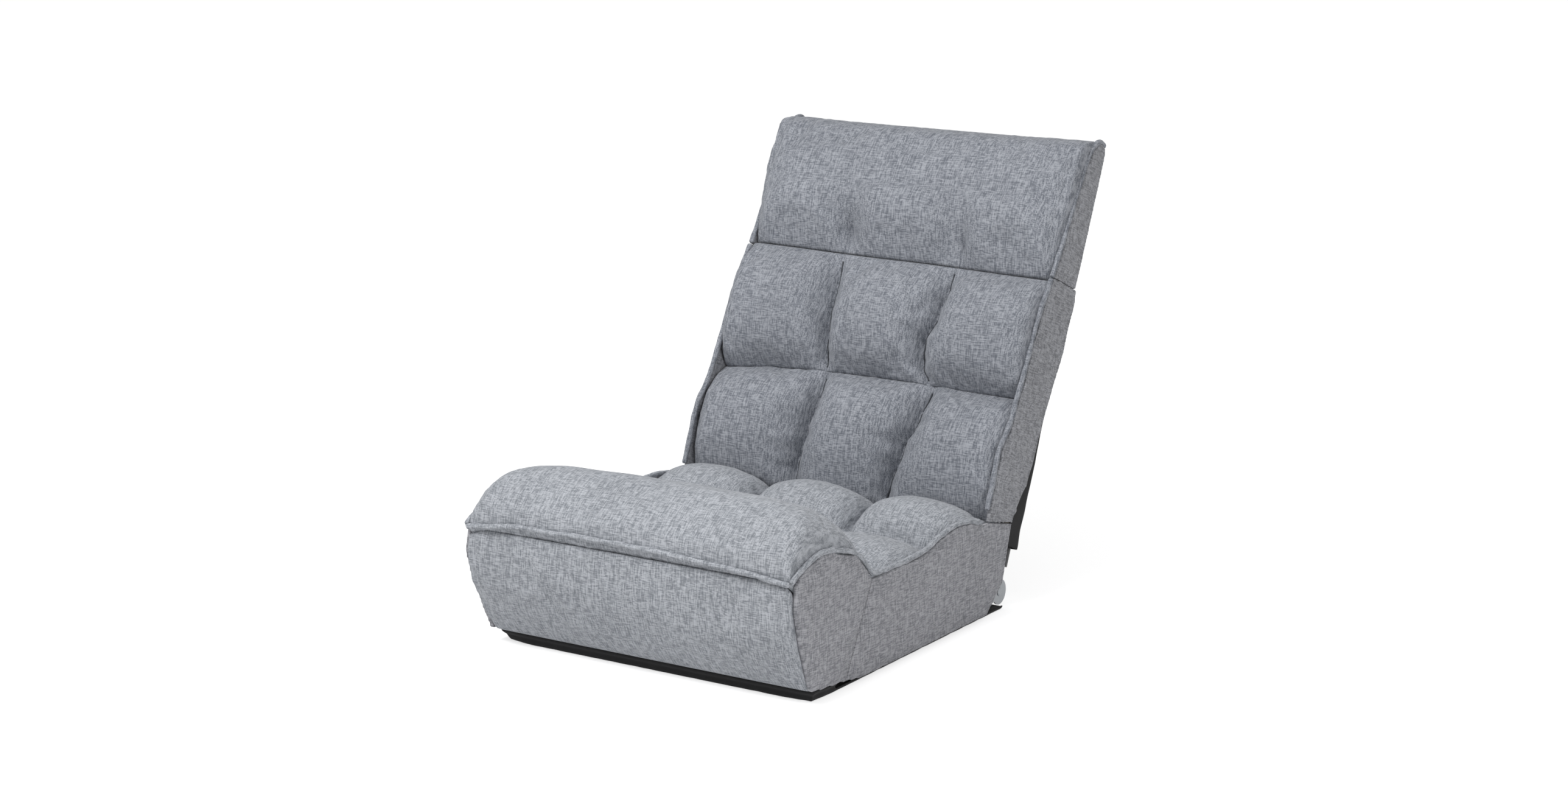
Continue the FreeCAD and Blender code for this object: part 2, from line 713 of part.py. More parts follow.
end = v("pad_half_width")
drop_at_end = 44.0
drawn = even_stations(lambda off: 0.10 * off ** 4 + 0.90 * off ** 22)
rolls = [(x, share * drop_at_end) for x, share in drawn]
solid_feature("front_bolster", Part.makeLoft([bolster_section(x, d) for x, d in rolls], True, False), seat_place)

panel_back = v("seat_foam_front") - gap


def panel_section(x, draw):
    """The front panel: full under the welt and drawn in to the black band."""
    low = v("panel_bottom")
    drop = drop_at_end * draw
    top = under_roll(seam_y + 1, drop) - 2 * gap
    back_top = under_roll(panel_back, drop) - 2 * gap
    bulge = v("panel_bulge") * (1 - 0.15 * draw)
    return section(x, [
        (panel_back, low), (base_front_y + draw, low), (seam_y + 26 - bulge, 84),
        (seam_y + 1, top), (panel_back, back_top),
    ], (2,))


base_front_y = v("base_front") - 10
solid_feature("front_panel", Part.makeLoft([panel_section(x, d) for x, d in drawn], True, False), seat_place)

cap_outline = [
    (-311, 172), (-300, 186), (-285, 192), (-250, 201), (-222, 199), (-203, 192), (-162, 181), (-141, 161),
    (-122.5, 139), (-190, 12.5), (-262, 19), (-275, 21), (-300, 90), (-312, 140),
]
side_pair("end_cap", cap_outline, ref("border_thick"), seat_place)

border_outline = [
    (-121.5, 138.5), (-69, 139), (-4, 138), (34, 141), (54, 149), (84, 155), (114, 158), (149, 154),
    (175.5, 146), (199, 144), (268, 128), (261, 105), (250, 67), (243, 45), (196, 6), (-150, 7), (-188.6, 12.3),
]
side_pair("seat_border", border_outline, ref("border_thick"), seat_place)

# The piping stands on the outer edge of the panels' tops, clear of them by the soft gap.
cord_r = v("piping_dia") / 2
rise = cord_r + gap
piping_x = v("pad_half_width") + gap + cord_r
seat_cord = [
    (-318, 181), (-302, 190.5), (-285, 196), (-250, 205), (-220, 203), (-196, 196), (-161, 186), (-137, 166),
    (-117, 143.5), (-69, 142.5), (-4, 141.5), (31, 144.5), (52, 152.5), (84, 158.6), (114, 161.6), (149, 157.6),
    (174, 150),
]
for side, tag in ((-1, "right"), (1, "left")):
    path = rounded_path([(side * piping_x, y, z) for y, z in seat_cord])
    solid_feature(f"seat_piping_{tag}", cord(path, v("piping_dia")), seat_place)

welt_y = seam_y - cord_r - gap
welt_end = end - 1.0
welt = [(-welt_end, seam_z - 10), (-200, seam_z + 1), (-90, seam_z + 4), (40, seam_z + 3), (180, seam_z - 3), (welt_end, seam_z - 11)]
solid_feature("front_welt", cord(rounded_path([(x, welt_y, z) for x, z in welt]), v("piping_dia")), seat_place)

# --- the black underside

cover_half = base_half - v("band_thick") - gap
cover_front = v("base_front") + v("band_thick") + gap
cover_points = [
    (-cover_half, cover_front), (cover_half, cover_front),
    (cover_half, v("base_rear")), (-cover_half, v("base_rear")),
]
plate("bottom_cover", cover_points, "XY_Plane", 0.0, ref("bottom_thick"), seat_place)

band_outer = doc.addObject("Part::Box", "band_outer")
band_outer.setExpression("Length", f"2 * {BASE_HALF}")
band_outer.setExpression("Width", f"{ref('base_rear')} - {ref('base_front')}")
band_outer.setExpression("Height", ref("band_tall"))
band_outer.Placement.Base = V(-base_half, v("base_front"), 0)
band_inner = doc.addObject("Part::Box", "band_inner")
band_inner.setExpression("Length", f"2 * ({BASE_HALF} - {ref('band_thick')})")
band_inner.setExpression("Width", f"{ref('base_rear')} - {ref('base_front')}")
band_inner.Height = 60
band_inner.Placement.Base = V(-base_half + v("band_thick"), v("base_front") + v("band_thick"), -10)
band_ring = doc.addObject("Part::Cut", "band_ring")
band_ring.Base = band_outer
band_ring.Tool = band_inner
band_step = doc.addObject("Part::Box", "band_step")
band_step.Length = 2 * base_half + 20
band_step.Width = v("base_rear") - v("base_front")
band_step.Height = 60
band_step.Placement.Base = V(-base_half - 10, v("base_front") + 60, v("band_low"))
band = doc.addObject("Part::Cut", "bottom_edge_band")
band.Base = band_ring
band.Tool = band_step
keep(band, "bottom_edge_band")

# --- the lower hinges

rear = V(0, 1, 0)
up = V(0, 0, 1)
lower_places = {}
for side, tag in ((-1, "right"), (1, "left")):
    lower_places[tag] = hinge_place(side, hinge, V(0, -1, 0), up, seat_place)
for tag, place in lower_places.items():
    hinge_plates(f"recline_plates_{tag}", place)
    leaf_spring(f"recline_spring_{tag}", place)
    pawl(f"recline_pawl_{tag}", place)
# The tongue lies along the back's frame: from -Y through up to the leaning direction.
arm_turn = math.radians(90 + lean)
for tag, place in lower_places.items():
    ratchet_wheel(f"recline_wheel_{tag}", arm_turn, place)
rivet_group("recline_pivots", "pivot_dia", [(0.0, 0.0)], list(lower_places.values()))
rivet_group("recline_rivets", "rivet_dia", [PAWL_PIVOT, *RIVETS], list(lower_places.values()))

# --- the back's frame, in the leaning frame

head_flat_low = head_axis_u - v("plate_reach") - 6
head_flat_high = head_axis_u - v("flat_start")
for side, tag in ((-1, "right"), (1, "left")):
    outer = doc.addObject("Part::Cylinder", f"back_tube_outer_{tag}")
    outer.setExpression("Radius", f"{ref('tube_dia')} / 2")
    bore = doc.addObject("Part::Cylinder", f"back_tube_bore_{tag}")
    bore.setExpression("Radius", f"{ref('tube_dia')} / 2 - {ref('tube_wall')}")
    for cylinder in (outer, bore):
        cylinder.Height = head_flat_low - v("tube_start")
        cylinder.Placement.Base = V(side * half, 0, v("tube_start"))
    pipe = doc.addObject("Part::Cut", f"back_tube_pipe_{tag}")
    pipe.Base = outer
    pipe.Tool = bore
    blank = fused(f"back_tube_blank_{tag}", [
        pipe, flat_end(f"back_flat_{tag}", side * half, head_flat_low - 12, head_flat_high, True),
    ])
    holes = [(side * half, 0.0, head_axis_u - x) for x, y in RIVETS]
    drilled(f"back_tube_{tag}", blank, holes, back_place)
cross_bars("back_cross_bars", [(0.0, v("back_bar_low")), (0.0, head_axis_u - v("back_bar_drop"))], back_place)
BACK_STRAPS = (160.0, 230.0, 300.0)
straps("back_webbing", BACK_STRAPS, back_place, True)

back_slab_t = tube_r + v("strap_thick") + 2 * gap
back_foam = doc.addObject("Part::Box", "back_foam")
back_foam.setExpression("Length", f"2 * {ref('pad_half_width')}")
back_foam.setExpression("Width", f"{ref('back_foam_front')} - {back_slab_t}")
back_foam.setExpression(
    "Height", f"{ref('back_length')} - {ref('plate_reach')} - {ref('foam_clear')} - {ref('back_foam_low')}"
)
inside_corner = V(-v("pad_half_width"), -v("back_foam_front"), v("back_foam_low"))
back_foam.Placement = back_place.multiply(FreeCAD.Placement(inside_corner, FreeCAD.Rotation()))
keep(back_foam, "back_foam")

# --- the back's soft pieces: local Y is -t, local Z is u

pad_t = v("back_foam_front") + gap
edge_t = pad_t + v("back_edge")


def lower_row(share):
    low = v("back_row_low")
    high = v("back_row_seam") - gap
    top = edge_t + v("lower_crown") * share
    return [
        (-pad_t, low), (-edge_t - 8, low), (-top, (low + high) / 2), (-edge_t, high), (-pad_t, high),
    ], (2,)


def upper_row(share):
    low = v("back_row_seam")
    high = head_seam - gap
    top = edge_t + v("middle_crown") * share
    return [
        (-pad_t, low), (-edge_t, low), (-top, (low + high) / 2), (-edge_t + 8, high), (-pad_t, high),
    ], (2,)


tufted_row("back_pad_lower", lower_row, 0.70, 0.30, back_place)
tufted_row("back_pad_middle", upper_row, 0.45, 0.25, back_place)

border_top = head_seam - 2 * gap
back_outline_t = [
    (192, 113), (232, 99), (268, 94), (306, 89), (362, 85), (419, 77), (border_top, 66), (border_top, -6),
    (border_top - 15.4, -11),
    (372, -8), (307, 2), (243, 12), (193, 14), (166, 19), (115, 39),
]
seam_rear = leaning(268.3, 129.2)
seam_front = leaning(199.3, 145.2)
back_outline = [(-t, u) for u, t in [(147, 113)] + back_outline_t]
back_outline = [seam_rear, seam_front] + back_outline
side_pair("back_border", back_outline, ref("border_thick"), back_place)

back_cord = [
    (103, 114.5), (147, 116.4), (192, 117.8), (232, 102.3), (268, 96.8), (306, 91.8), (362, 87.8), (419, 80.3),
    (459, 69.3),
]
for side, tag in ((-1, "right"), (1, "left")):
    path = rounded_path([(side * piping_x, -t - 0.3, u) for u, t in back_cord])
    solid_feature(f"back_piping_{tag}", cord(path, v("piping_dia")), back_place)

cloth_wide = v("pad_half_width") - v("cloth_inset")
cloth_slim = frame_half - v("flat_thick") / 2 - v("plate_thick") - 6
cloth_low = v("cloth_low")
cloth_notch = head_axis_u - v("plate_reach") - 6
cloth_high = head_axis_u - v("cloth_drop")
cloth_points = [
    (-cloth_wide, cloth_low), (cloth_wide, cloth_low), (cloth_wide, cloth_notch), (cloth_slim, cloth_notch),
    (cloth_slim, cloth_high), (-cloth_slim, cloth_high), (-cloth_slim, cloth_notch),
    (-cloth_wide, cloth_notch),
]
# A pad on the XZ plane grows towards -Y, so it starts at the cloth's rear face.
cloth_rear = tube_r + gap + v("cloth_thick")
plate("back_dust_cloth", cloth_points, "XZ_Plane", -cloth_rear, ref("cloth_thick"), back_place)

apron_wide = frame_half - tube_r - v("apron_inset")
apron_y = v("base_rear") + gap
apron_t = cloth_rear + gap
apron_thick = 2.0
fold_y = v("base_rear") + v("apron_fold")
fold_z = v("apron_fold_height")
apron_in = [
    leaning(apron_y, 1.6 + apron_thick), leaning(fold_y, fold_z), (apron_t + 3, 40.0), (apron_t, cloth_low - 2),
    (apron_t, v("apron_high")),
]
apron_out = [
    (apron_t + apron_thick, v("apron_high")), (apron_t + apron_thick, cloth_low - 2),
    (apron_t + 3 + apron_thick, 40.0), leaning(fold_y + apron_thick, fold_z - 0.8), leaning(apron_y, 1.6),
]
body = doc.addObject("PartDesign::Body", "rear_apron")
sk = sketch_on(body, "YZ_Plane", "rear_apron_bend")
closed_lines(sk, apron_in + apron_out)
pad = body.newObject("PartDesign::Pad", "rear_apron_pad")
pad.Profile = sk
pad.SideType = "Symmetric"
pad.Length = 2 * apron_wide
sk.Visibility = False
body.Tip = pad
body.Placement = back_place
keep(body, "rear_apron")

# --- the head hinges

head_places = {}
for side, tag in ((-1, "right"), (1, "left")):
    head_places[tag] = hinge_place(side, V(0, 0, head_axis_u), V(0, 0, -1), V(0, 1, 0), back_place)
for tag, place in head_places.items():
    hinge_plates(f"head_plates_{tag}", place)
    leaf_spring(f"head_spring_{tag}", place)
    pawl(f"head_pawl_{tag}", place)
    ratchet_wheel(f"head_wheel_{tag}", math.pi, place)
rivet_group("head_pivots", "pivot_dia", [(0.0, 0.0)], list(head_places.values()))
rivet_group("head_rivets", "rivet_dia", [PAWL_PIVOT, *RIVETS], list(head_places.values()))

# --- the head: tube, foam, pad and covers

head_start = head_axis_u + v("tube_start")
head_high = head_top - v("head_tube_drop")
head_path = [(-half, head_start), (-half, head_high), (half, head_high), (half, head_start)]
head_pipe = bent_tube("head_frame_tube", head_path, None, back_place, True)
keep(head_pipe, "head_frame_tube")

slab_t = tube_r + gap
slab_low = head_seam + v("head_foam_rise")
slab_high = head_top - v("head_foam_drop")
foam_points = [
    (-slab_t, slab_low), (-v("head_foam_thick_low"), slab_low), (-v("head_foam_thick_high"), slab_high),
    (-slab_t, slab_high),
]
plate("head_foam", foam_points, "YZ_Plane", -v("pad_half_width"), "2 * " + ref("pad_half_width"), back_place)


def head_section(x, share, top_share, dimple):
    """The headrest: a long crown that rolls over the top of the tube. The dimple pulls it in."""
    low = head_seam
    top = head_top
    tall = top - low
    lift = v("head_crown") * share
    top_lift = v("head_crown") * top_share
    return section(x, [
        (-49.5, low), (-62.0, low), (-(60.0 + lift - dimple), low + 0.234 * tall),
        (-(49.0 + (lift + top_lift) / 2), low + 0.505 * tall),
        (-(38.0 + top_lift * 0.74), top - 42), (-22.0, top - 4), (-6.0, top), (8.0, top - 8), (9.5, top - 22),
        (-19.3, top - 22),
    ], (2, 4, 6))


def head_shape(off):
    """The shares of the crown, low down and at the top, and the depth of the dimple."""
    near = (off * v("pad_half_width") - v("channel_x")) / 26
    flat = (1 - off ** 6) ** 0.8
    return 0.35 + 0.65 * flat, 0.72 + 0.28 * flat, 10.0 * math.exp(-near * near)


half_pad = v("pad_half_width")
head_spots = [half_pad * n / 12 for n in range(-12, 13)]
heads = [(x, *head_shape(abs(x) / half_pad)) for x in head_spots]
solid_feature("head_pad", Part.makeLoft([head_section(*spot) for spot in heads], True, False), back_place)

head_low = head_seam
head_tall = v("head_height")
head_outline_t = [
    (head_low + 0.2, 65), (head_low + 0.25 * head_tall, 55), (head_low + 0.554 * head_tall, 45.5),
    (head_top - 44, 35), (head_top - 18, 27), (head_top - 5, 16), (head_top, 5),
    (head_top - 3, -5), (head_top - 12, -9.5), (head_top - 55, -10),
    (head_low + 0.4 * head_tall, -8), (head_low + 18, -6), (head_low + 0.2, -5),
]
side_pair("head_border", [(-t, u) for u, t in head_outline_t], ref("border_thick"), back_place)
head_cord = [
    (head_low + 2, 68.4), (head_low + 0.25 * head_tall, 58.2), (head_low + 0.554 * head_tall, 48.6),
    (head_top - 44, 38.2), (head_top - 16.2, 30.6), (head_top - 1.6, 18.8),
    (head_top + 4, 5.4), (head_top - 0.2, -8.4),
]
for side, tag in ((-1, "right"), (1, "left")):
    path = rounded_path([(side * piping_x, -t, u) for u, t in head_cord])
    solid_feature(f"head_piping_{tag}", cord(path, v("piping_dia")), back_place)
cover_wide = v("pad_half_width")
cover_low = head_low + v("cover_low_rise")
cover_high = head_top - v("cover_high_drop")
cover_points = [(-cover_wide, cover_low), (cover_wide, cover_low), (cover_wide, cover_high), (-cover_wide, cover_high)]
plate("head_rear_cover", cover_points, "XZ_Plane", -cloth_rear, ref("cloth_thick"), back_place)

# --- every object must be sound before anything is written

doc.recompute()
for obj in doc.Objects:
    if "Invalid" in obj.State or "Error" in obj.State:
        raise RuntimeError(f"{obj.Label} did not rebuild: {obj.State}")
names = set()
for obj in pieces:
    if obj.Shape.isNull() or not obj.Shape.isValid() or not obj.Shape.Solids:
        raise RuntimeError(f"{obj.Label} has no sound shape")
    if obj.Label in names:
        raise RuntimeError(f"two pieces are called {obj.Label}")
    names.add(obj.Label)
for obj in pieces:
    obj.Shape.exportStep(f"parts/{obj.Label}.step")
    box = obj.Shape.BoundBox
    print(f"{obj.Label}: {len(obj.Shape.Solids)} solid(s), volume {obj.Shape.Volume:.0f}, "
          f"x {box.XMin:.1f}..{box.XMax:.1f}, y {box.YMin:.1f}..{box.YMax:.1f}, z {box.ZMin:.1f}..{box.ZMax:.1f}")
print(len(pieces), "pieces")
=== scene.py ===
# %% [markdown]
# # A folding floor chair
# The chair is a padded seat that lies on the floor, a tufted back that reclines on ratchet
# hinges, and a headrest on two smaller ones. The frame below holds the exact solids. This
# lesson dresses them: it puts filling into the covers, rolls the welts, stretches the black
# cloth and gives each surface its finish. Lengths are in metres, with the chair facing -Y.

# %% Load the frame
import math

import bmesh
import bpy
from mathutils import Matrix, Vector, noise
from mathutils.bvhtree import BVHTree


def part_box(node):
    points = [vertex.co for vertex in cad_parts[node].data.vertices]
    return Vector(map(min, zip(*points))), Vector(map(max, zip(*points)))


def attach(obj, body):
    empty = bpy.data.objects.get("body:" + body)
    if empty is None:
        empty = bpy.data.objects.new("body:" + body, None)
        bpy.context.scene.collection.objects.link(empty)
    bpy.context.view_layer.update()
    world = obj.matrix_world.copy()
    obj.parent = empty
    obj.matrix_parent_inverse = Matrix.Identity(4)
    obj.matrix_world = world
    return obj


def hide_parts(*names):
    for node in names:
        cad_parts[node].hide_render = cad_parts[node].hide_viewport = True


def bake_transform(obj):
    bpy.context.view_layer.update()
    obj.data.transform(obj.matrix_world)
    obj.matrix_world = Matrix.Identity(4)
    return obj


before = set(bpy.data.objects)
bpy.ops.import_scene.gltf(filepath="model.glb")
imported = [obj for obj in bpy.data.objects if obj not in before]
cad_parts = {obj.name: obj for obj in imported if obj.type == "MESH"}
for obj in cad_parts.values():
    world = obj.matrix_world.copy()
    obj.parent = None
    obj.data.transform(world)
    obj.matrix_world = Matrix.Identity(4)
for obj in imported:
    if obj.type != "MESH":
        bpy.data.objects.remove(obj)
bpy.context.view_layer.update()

MM = 0.001

# %% [markdown]
# ## The leaning frame
# The back and the headrest are easiest to shape in their own frame: x across the chair,
# z up along the back's tubes from the lower hinge, and -y forward, out of the cushion.
# One matrix carries points from that frame to the room and its inverse carries them back.

# %% The lean of the back
BACK_LEAN = math.radians(23.3)
LOWER_HINGE = Vector((0, 265 * MM, 22.5 * MM))
LEANING = Matrix.Translation(LOWER_HINGE) @ Matrix.Rotation(-BACK_LEAN, 4, "X")
UPRIGHT = Matrix.Identity(4)
HALF_WIDTH = 261.7 * MM


def on_back(forward, up):
    """The place in the room of a point forward of the back's tubes and up along them."""
    return tuple(LEANING @ Vector((0, -forward, up)))


print("the head hinge is at", [round(v, 4) for v in on_back(0, 457 * MM)])

# %% [markdown]
# ## Colours
# Colours are written as the sRGB hex values that one would read off a swatch. The shader
# works in linear light, so one function does that change for every material.

# %% Hex to linear


def colour(text):
    """An sRGB hex value, such as #8f929b, as linear red, green, blue and alpha."""
    levels = [int(text[i:i + 2], 16) / 255 for i in (1, 3, 5)]
    linear = [v / 12.92 if v <= 0.04045 else ((v + 0.055) / 1.055) ** 2.4 for v in levels]
    return (*linear, 1.0)


print("linen grey in linear light:", [round(v, 3) for v in colour("#8f929b")])

# %% [markdown]
# ## Building a shader
# A shader is a small graph. This function adds one node, sets its settings and the values of
# its sockets, and links what comes from other nodes, so each material reads as a list.

# %% Add a node


def add(tree, kind, settings=None, values=None, links=None):
    """Adds a node. values go by socket name or number; links give (node, socket) pairs."""
    node = tree.nodes.new(kind)
    for name, value in (settings or {}).items():
        setattr(node, name, value)
    for name, value in (values or {}).items():
        node.inputs[name].default_value = value
    for name, (source, socket) in (links or {}).items():
        tree.links.new(source.outputs[socket], node.inputs[name])
    return node


def new_material(name):
    """An empty material, with its tree and its output node."""
    material = bpy.data.materials.new(name)
    material.use_nodes = True
    tree = material.node_tree
    tree.nodes.clear()
    return material, tree, tree.nodes.new("ShaderNodeOutputMaterial")


# %% [markdown]
# ## Heather linen-look weave
# The cover is a plain weave of polyester yarn, spun to look like linen. Each yarn is dyed a
# little lighter or darker along its length, so the cloth shows short streaks both ways. The
# real yarns are about 0.5 mm apart, too fine for the picture, so the streaks are drawn about
# twice as wide and 13 mm long. An image of cloth would need a UV map. Noise that is stretched
# along one axis of the room makes the streaks without one, and on the back it is turned by
# the lean. Two such noises are set against each other, so each streak lies over or under.

# %% The cover's weave
STREAK_WIDE = 1.3 * MM
STREAK_LONG = 13 * MM
YARN_RELIEF = 0.35 * MM
YARN_SPAN = 0.17
CLOUDS_PER_METRE = 9.0


def woven(name, light, dark, warp, weft, lean=0.0):
    """A heather weave. warp and weft are the streak lengths along x, y and z, in metres."""
    material, tree, output = new_material(name)
    place = add(tree, "ShaderNodeTexCoord")
    turned = add(tree, "ShaderNodeMapping", {"vector_type": "POINT"},
                 {"Rotation": (lean, 0, 0)}, {"Vector": (place, "Object")})
    runs = []
    for lengths in (warp, weft):
        scaled = add(tree, "ShaderNodeMapping", {}, {"Scale": [1 / v for v in lengths]},
                     {"Vector": (turned, 0)})
        runs.append(add(tree, "ShaderNodeTexNoise", {}, {"Scale": 1.0, "Detail": 1.5, "Roughness": 0.7},
                        {"Vector": (scaled, 0)}))
    over = add(tree, "ShaderNodeMath", {"operation": "SUBTRACT"}, {}, {0: (runs[0], 0), 1: (runs[1], 0)})
    yarn = add(tree, "ShaderNodeMapRange", {}, {1: -YARN_SPAN, 2: YARN_SPAN, 3: 0.0, 4: 1.0},
               {0: (over, 0)})
    shades = add(tree, "ShaderNodeValToRGB", {}, {}, {0: (yarn, 0)})
    shades.color_ramp.elements[0].color = colour(dark)
    shades.color_ramp.elements[1].color = colour(light)
    cloudy = add(tree, "ShaderNodeTexNoise", {}, {"Scale": CLOUDS_PER_METRE, "Detail": 1.0},
                 {"Vector": (turned, 0)})
    worn = add(tree, "ShaderNodeMapRange", {}, {1: 0.3, 2: 0.7, 3: 0.97, 4: 1.03}, {0: (cloudy, 0)})
    tinted = add(tree, "ShaderNodeMix", {"data_type": "RGBA", "blend_type": "MULTIPLY"}, {0: 1.0},
                 {6: (shades, 0), 7: (worn, 0)})
    raised = add(tree, "ShaderNodeBump", {}, {"Strength": 0.5, "Distance": YARN_RELIEF},
                 {"Height": (yarn, 0)})
    shader = add(tree, "ShaderNodeBsdfPrincipled", {}, {
        "Roughness": 0.92, "Sheen Weight": 0.15, "Sheen Roughness": 0.45, "Specular IOR Level": 0.2,
    }, {"Base Color": (tinted, 2), "Normal": (raised, 0)})
    tree.links.new(shader.outputs[0], output.inputs[0])
    return material


ACROSS = (STREAK_LONG, STREAK_WIDE, STREAK_WIDE)
ALONG = (STREAK_WIDE, STREAK_LONG, STREAK_LONG)
UP_THE_SIDE = (STREAK_LONG, STREAK_WIDE, STREAK_LONG)
ALONG_THE_SIDE = (STREAK_LONG, STREAK_LONG, STREAK_WIDE)
# The four weaves are one cloth. The seat's copy is the cloth as it looks lit from the front; the back's
# and the sides' copies are the same cloth painted darker, as painted shade, not another dye.
seat_weave = woven("heather_linen_weave", "#b6b9bf", "#7d8187", ALONG, ACROSS)
back_weave_painted_shade = woven("heather_linen_weave_back_painted_shade", "#a3a6ad", "#696d75", ALONG, ACROSS, BACK_LEAN)
side_weave_painted_shade = woven("heather_linen_weave_side_painted_shade", "#adadb2", "#77787d", UP_THE_SIDE, ALONG_THE_SIDE)
back_side_weave_painted_shade = woven("heather_linen_weave_back_side_painted_shade", "#a9aaaf", "#747579",
                        UP_THE_SIDE, ALONG_THE_SIDE, BACK_LEAN)
print("made", seat_weave.name, back_weave_painted_shade.name, side_weave_painted_shade.name, back_side_weave_painted_shade.name)

# %% [markdown]
# ## Black non-woven cloth
# The underside and the rear of the back are closed with spun-bonded polypropylene, a cheap
# black felt-like sheet with a fine dimpled bond pattern. It is matt and catches a little
# light. Its dimples are Voronoi cells and its fibres a fine noise, and both dent the surface.

# %% The black cloth
DIMPLE = 2.2 * MM
FIBRES_PER_METRE = 900.0
black_cloth, tree, output = new_material("black_spunbond_cloth")
place = add(tree, "ShaderNodeTexCoord")
spots = add(tree, "ShaderNodeTexVoronoi", {}, {"Scale": 1 / DIMPLE, "Randomness": 0.25},
            {"Vector": (place, "Object")})
fibres = add(tree, "ShaderNodeTexNoise", {}, {"Scale": FIBRES_PER_METRE, "Detail": 3.0},
             {"Vector": (place, "Object")})
felt = add(tree, "ShaderNodeMix", {"data_type": "FLOAT"}, {0: 0.5}, {2: (spots, 0), 3: (fibres, 0)})
shades = add(tree, "ShaderNodeValToRGB", {}, {}, {0: (felt, 0)})
shades.color_ramp.elements[0].color = colour("#0c0c0d")
shades.color_ramp.elements[1].color = colour("#1a1a1c")
raised = add(tree, "ShaderNodeBump", {}, {"Strength": 0.5, "Distance": 0.3 * MM}, {"Height": (felt, 0)})
shader = add(tree, "ShaderNodeBsdfPrincipled", {}, {"Roughness": 0.8, "Specular IOR Level": 0.3},
             {"Base Color": (shades, 0), "Normal": (raised, 0)})
tree.links.new(shader.outputs[0], output.inputs[0])
print("made", black_cloth.name)

# %% [markdown]
# ## Finishes with one fine pattern
# Several finishes on the chair differ only in one small pattern, which tints the surface and
# may dent it: the skin of a powder coat, the cells of foam, the ribs of webbing, the twist of
# a thread. One function builds all of them, from the pattern's own node and its real size.

# %% A patterned finish


def patterned(name, kind, settings, values, dark, light, surface, dent=None):
    """kind, settings and values are the pattern's node. dent is how strong and how deep it is."""
    material, tree, output = new_material(name)
    place = add(tree, "ShaderNodeTexCoord")
    pattern = add(tree, kind, settings, values, {"Vector": (place, "Object")})
    shades = add(tree, "ShaderNodeValToRGB", {}, {}, {0: (pattern, 0)})
    shades.color_ramp.elements[0].color = colour(dark)
    shades.color_ramp.elements[1].color = colour(light)
    links = {"Base Color": (shades, 0)}
    if dent:
        strength, depth = dent
        raised = add(tree, "ShaderNodeBump", {}, {"Strength": strength, "Distance": depth},
                     {"Height": (pattern, 0)})
        links["Normal"] = (raised, 0)
    shader = add(tree, "ShaderNodeBsdfPrincipled", {}, surface, links)
    tree.links.new(shader.outputs[0], output.inputs[0])
    return material


# %% [markdown]
# ## Powder coat and zinc
# The tubes are bent from mild steel and powder coated black, which leaves a faint orange-peel
# skin. The hinge plates, rivets, wheels, pawls and springs are stamped or turned steel with
# bright zinc plating, a soft grey metal with cloudy patches where the bath lay unevenly. The
# patches change how dull the metal is as well as its grey, so zinc gets a graph of its own.

# %% The frame's and the hinges' finishes
ORANGE_PEEL = 1.5 * MM
powder_coat = patterned("black_powder_coat", "ShaderNodeTexNoise", {},
                        {"Scale": 1 / ORANGE_PEEL, "Detail": 2.0},
                        "#17171a", "#232327", {"Roughness": 0.42}, (0.25, 0.1 * MM))

ZINC_PATCH = 6 * MM
zinc_plate, tree, output = new_material("zinc_plated_steel")
place = add(tree, "ShaderNodeTexCoord")
cloudy = add(tree, "ShaderNodeTexNoise", {}, {"Scale": 1 / ZINC_PATCH, "Detail": 4.0},
             {"Vector": (place, "Object")})
shades = add(tree, "ShaderNodeValToRGB", {}, {}, {0: (cloudy, 0)})
shades.color_ramp.elements[0].color = colour("#7b7e82")
shades.color_ramp.elements[1].color = colour("#a3a6a9")
dull = add(tree, "ShaderNodeMapRange", {}, {1: 0.3, 2: 0.7, 3: 0.28, 4: 0.5}, {0: (cloudy, 0)})
shader = add(tree, "ShaderNodeBsdfPrincipled", {}, {"Metallic": 1.0},
             {"Base Color": (shades, 0), "Roughness": (dull, 0)})
tree.links.new(shader.outputs[0], output.inputs[0])
print("made", powder_coat.name, zinc_plate.name)

# %% [markdown]
# ## Foam and webbing
# Cut polyurethane foam is pale yellow with open cells of about a millimetre, which a Voronoi
# pattern draws. The webbing is black polypropylene, woven with ribs about 2 mm wide across
# the strap. At a scale of 1 the wave node's half wave is near 3.2 / 20 long, and it is a rib.

# %% What the covers hold inside
FOAM_CELL = 1.2 * MM
RIB = 2 * MM
HALF_WAVE = 3.2 / 20
cut_foam = patterned("cut_polyurethane_foam", "ShaderNodeTexVoronoi", {}, {"Scale": 1 / FOAM_CELL},
                     "#d8cba2", "#efe6c4", {"Roughness": 0.95}, (0.6, 0.4 * MM))
webbing = patterned("woven_polypropylene_webbing", "ShaderNodeTexWave",
                    {"wave_type": "BANDS", "bands_direction": "X"},
                    {"Scale": HALF_WAVE / RIB, "Distortion": 1.5, "Detail": 1.0},
                    "#141416", "#36363a", {"Roughness": 0.7}, (0.7, 0.3 * MM))
print("made", cut_foam.name, webbing.name)

# %% [markdown]
# ## From a solid to a cushion
# A sewn cushion is a bag that its filling pushes out, held back where it is stitched. That is
# how each pad is made here. The solid gives the bag's cut, an even mesh of small squares is
# laid over it, and Blender's cloth, blown up from inside, swells between the seams. Sculpting
# would do too, but cloth puts the fullness where real filling would, on every pad alike.

# %% Put a thing in the room, copy a solid, and apply what is on a piece
SAME_POINT = 0.01 * MM


def in_room(name, data):
    """An object of that mesh, curve, light or camera, linked to the scene."""
    thing = bpy.data.objects.new(name, data)
    bpy.context.scene.collection.objects.link(thing)
    return thing


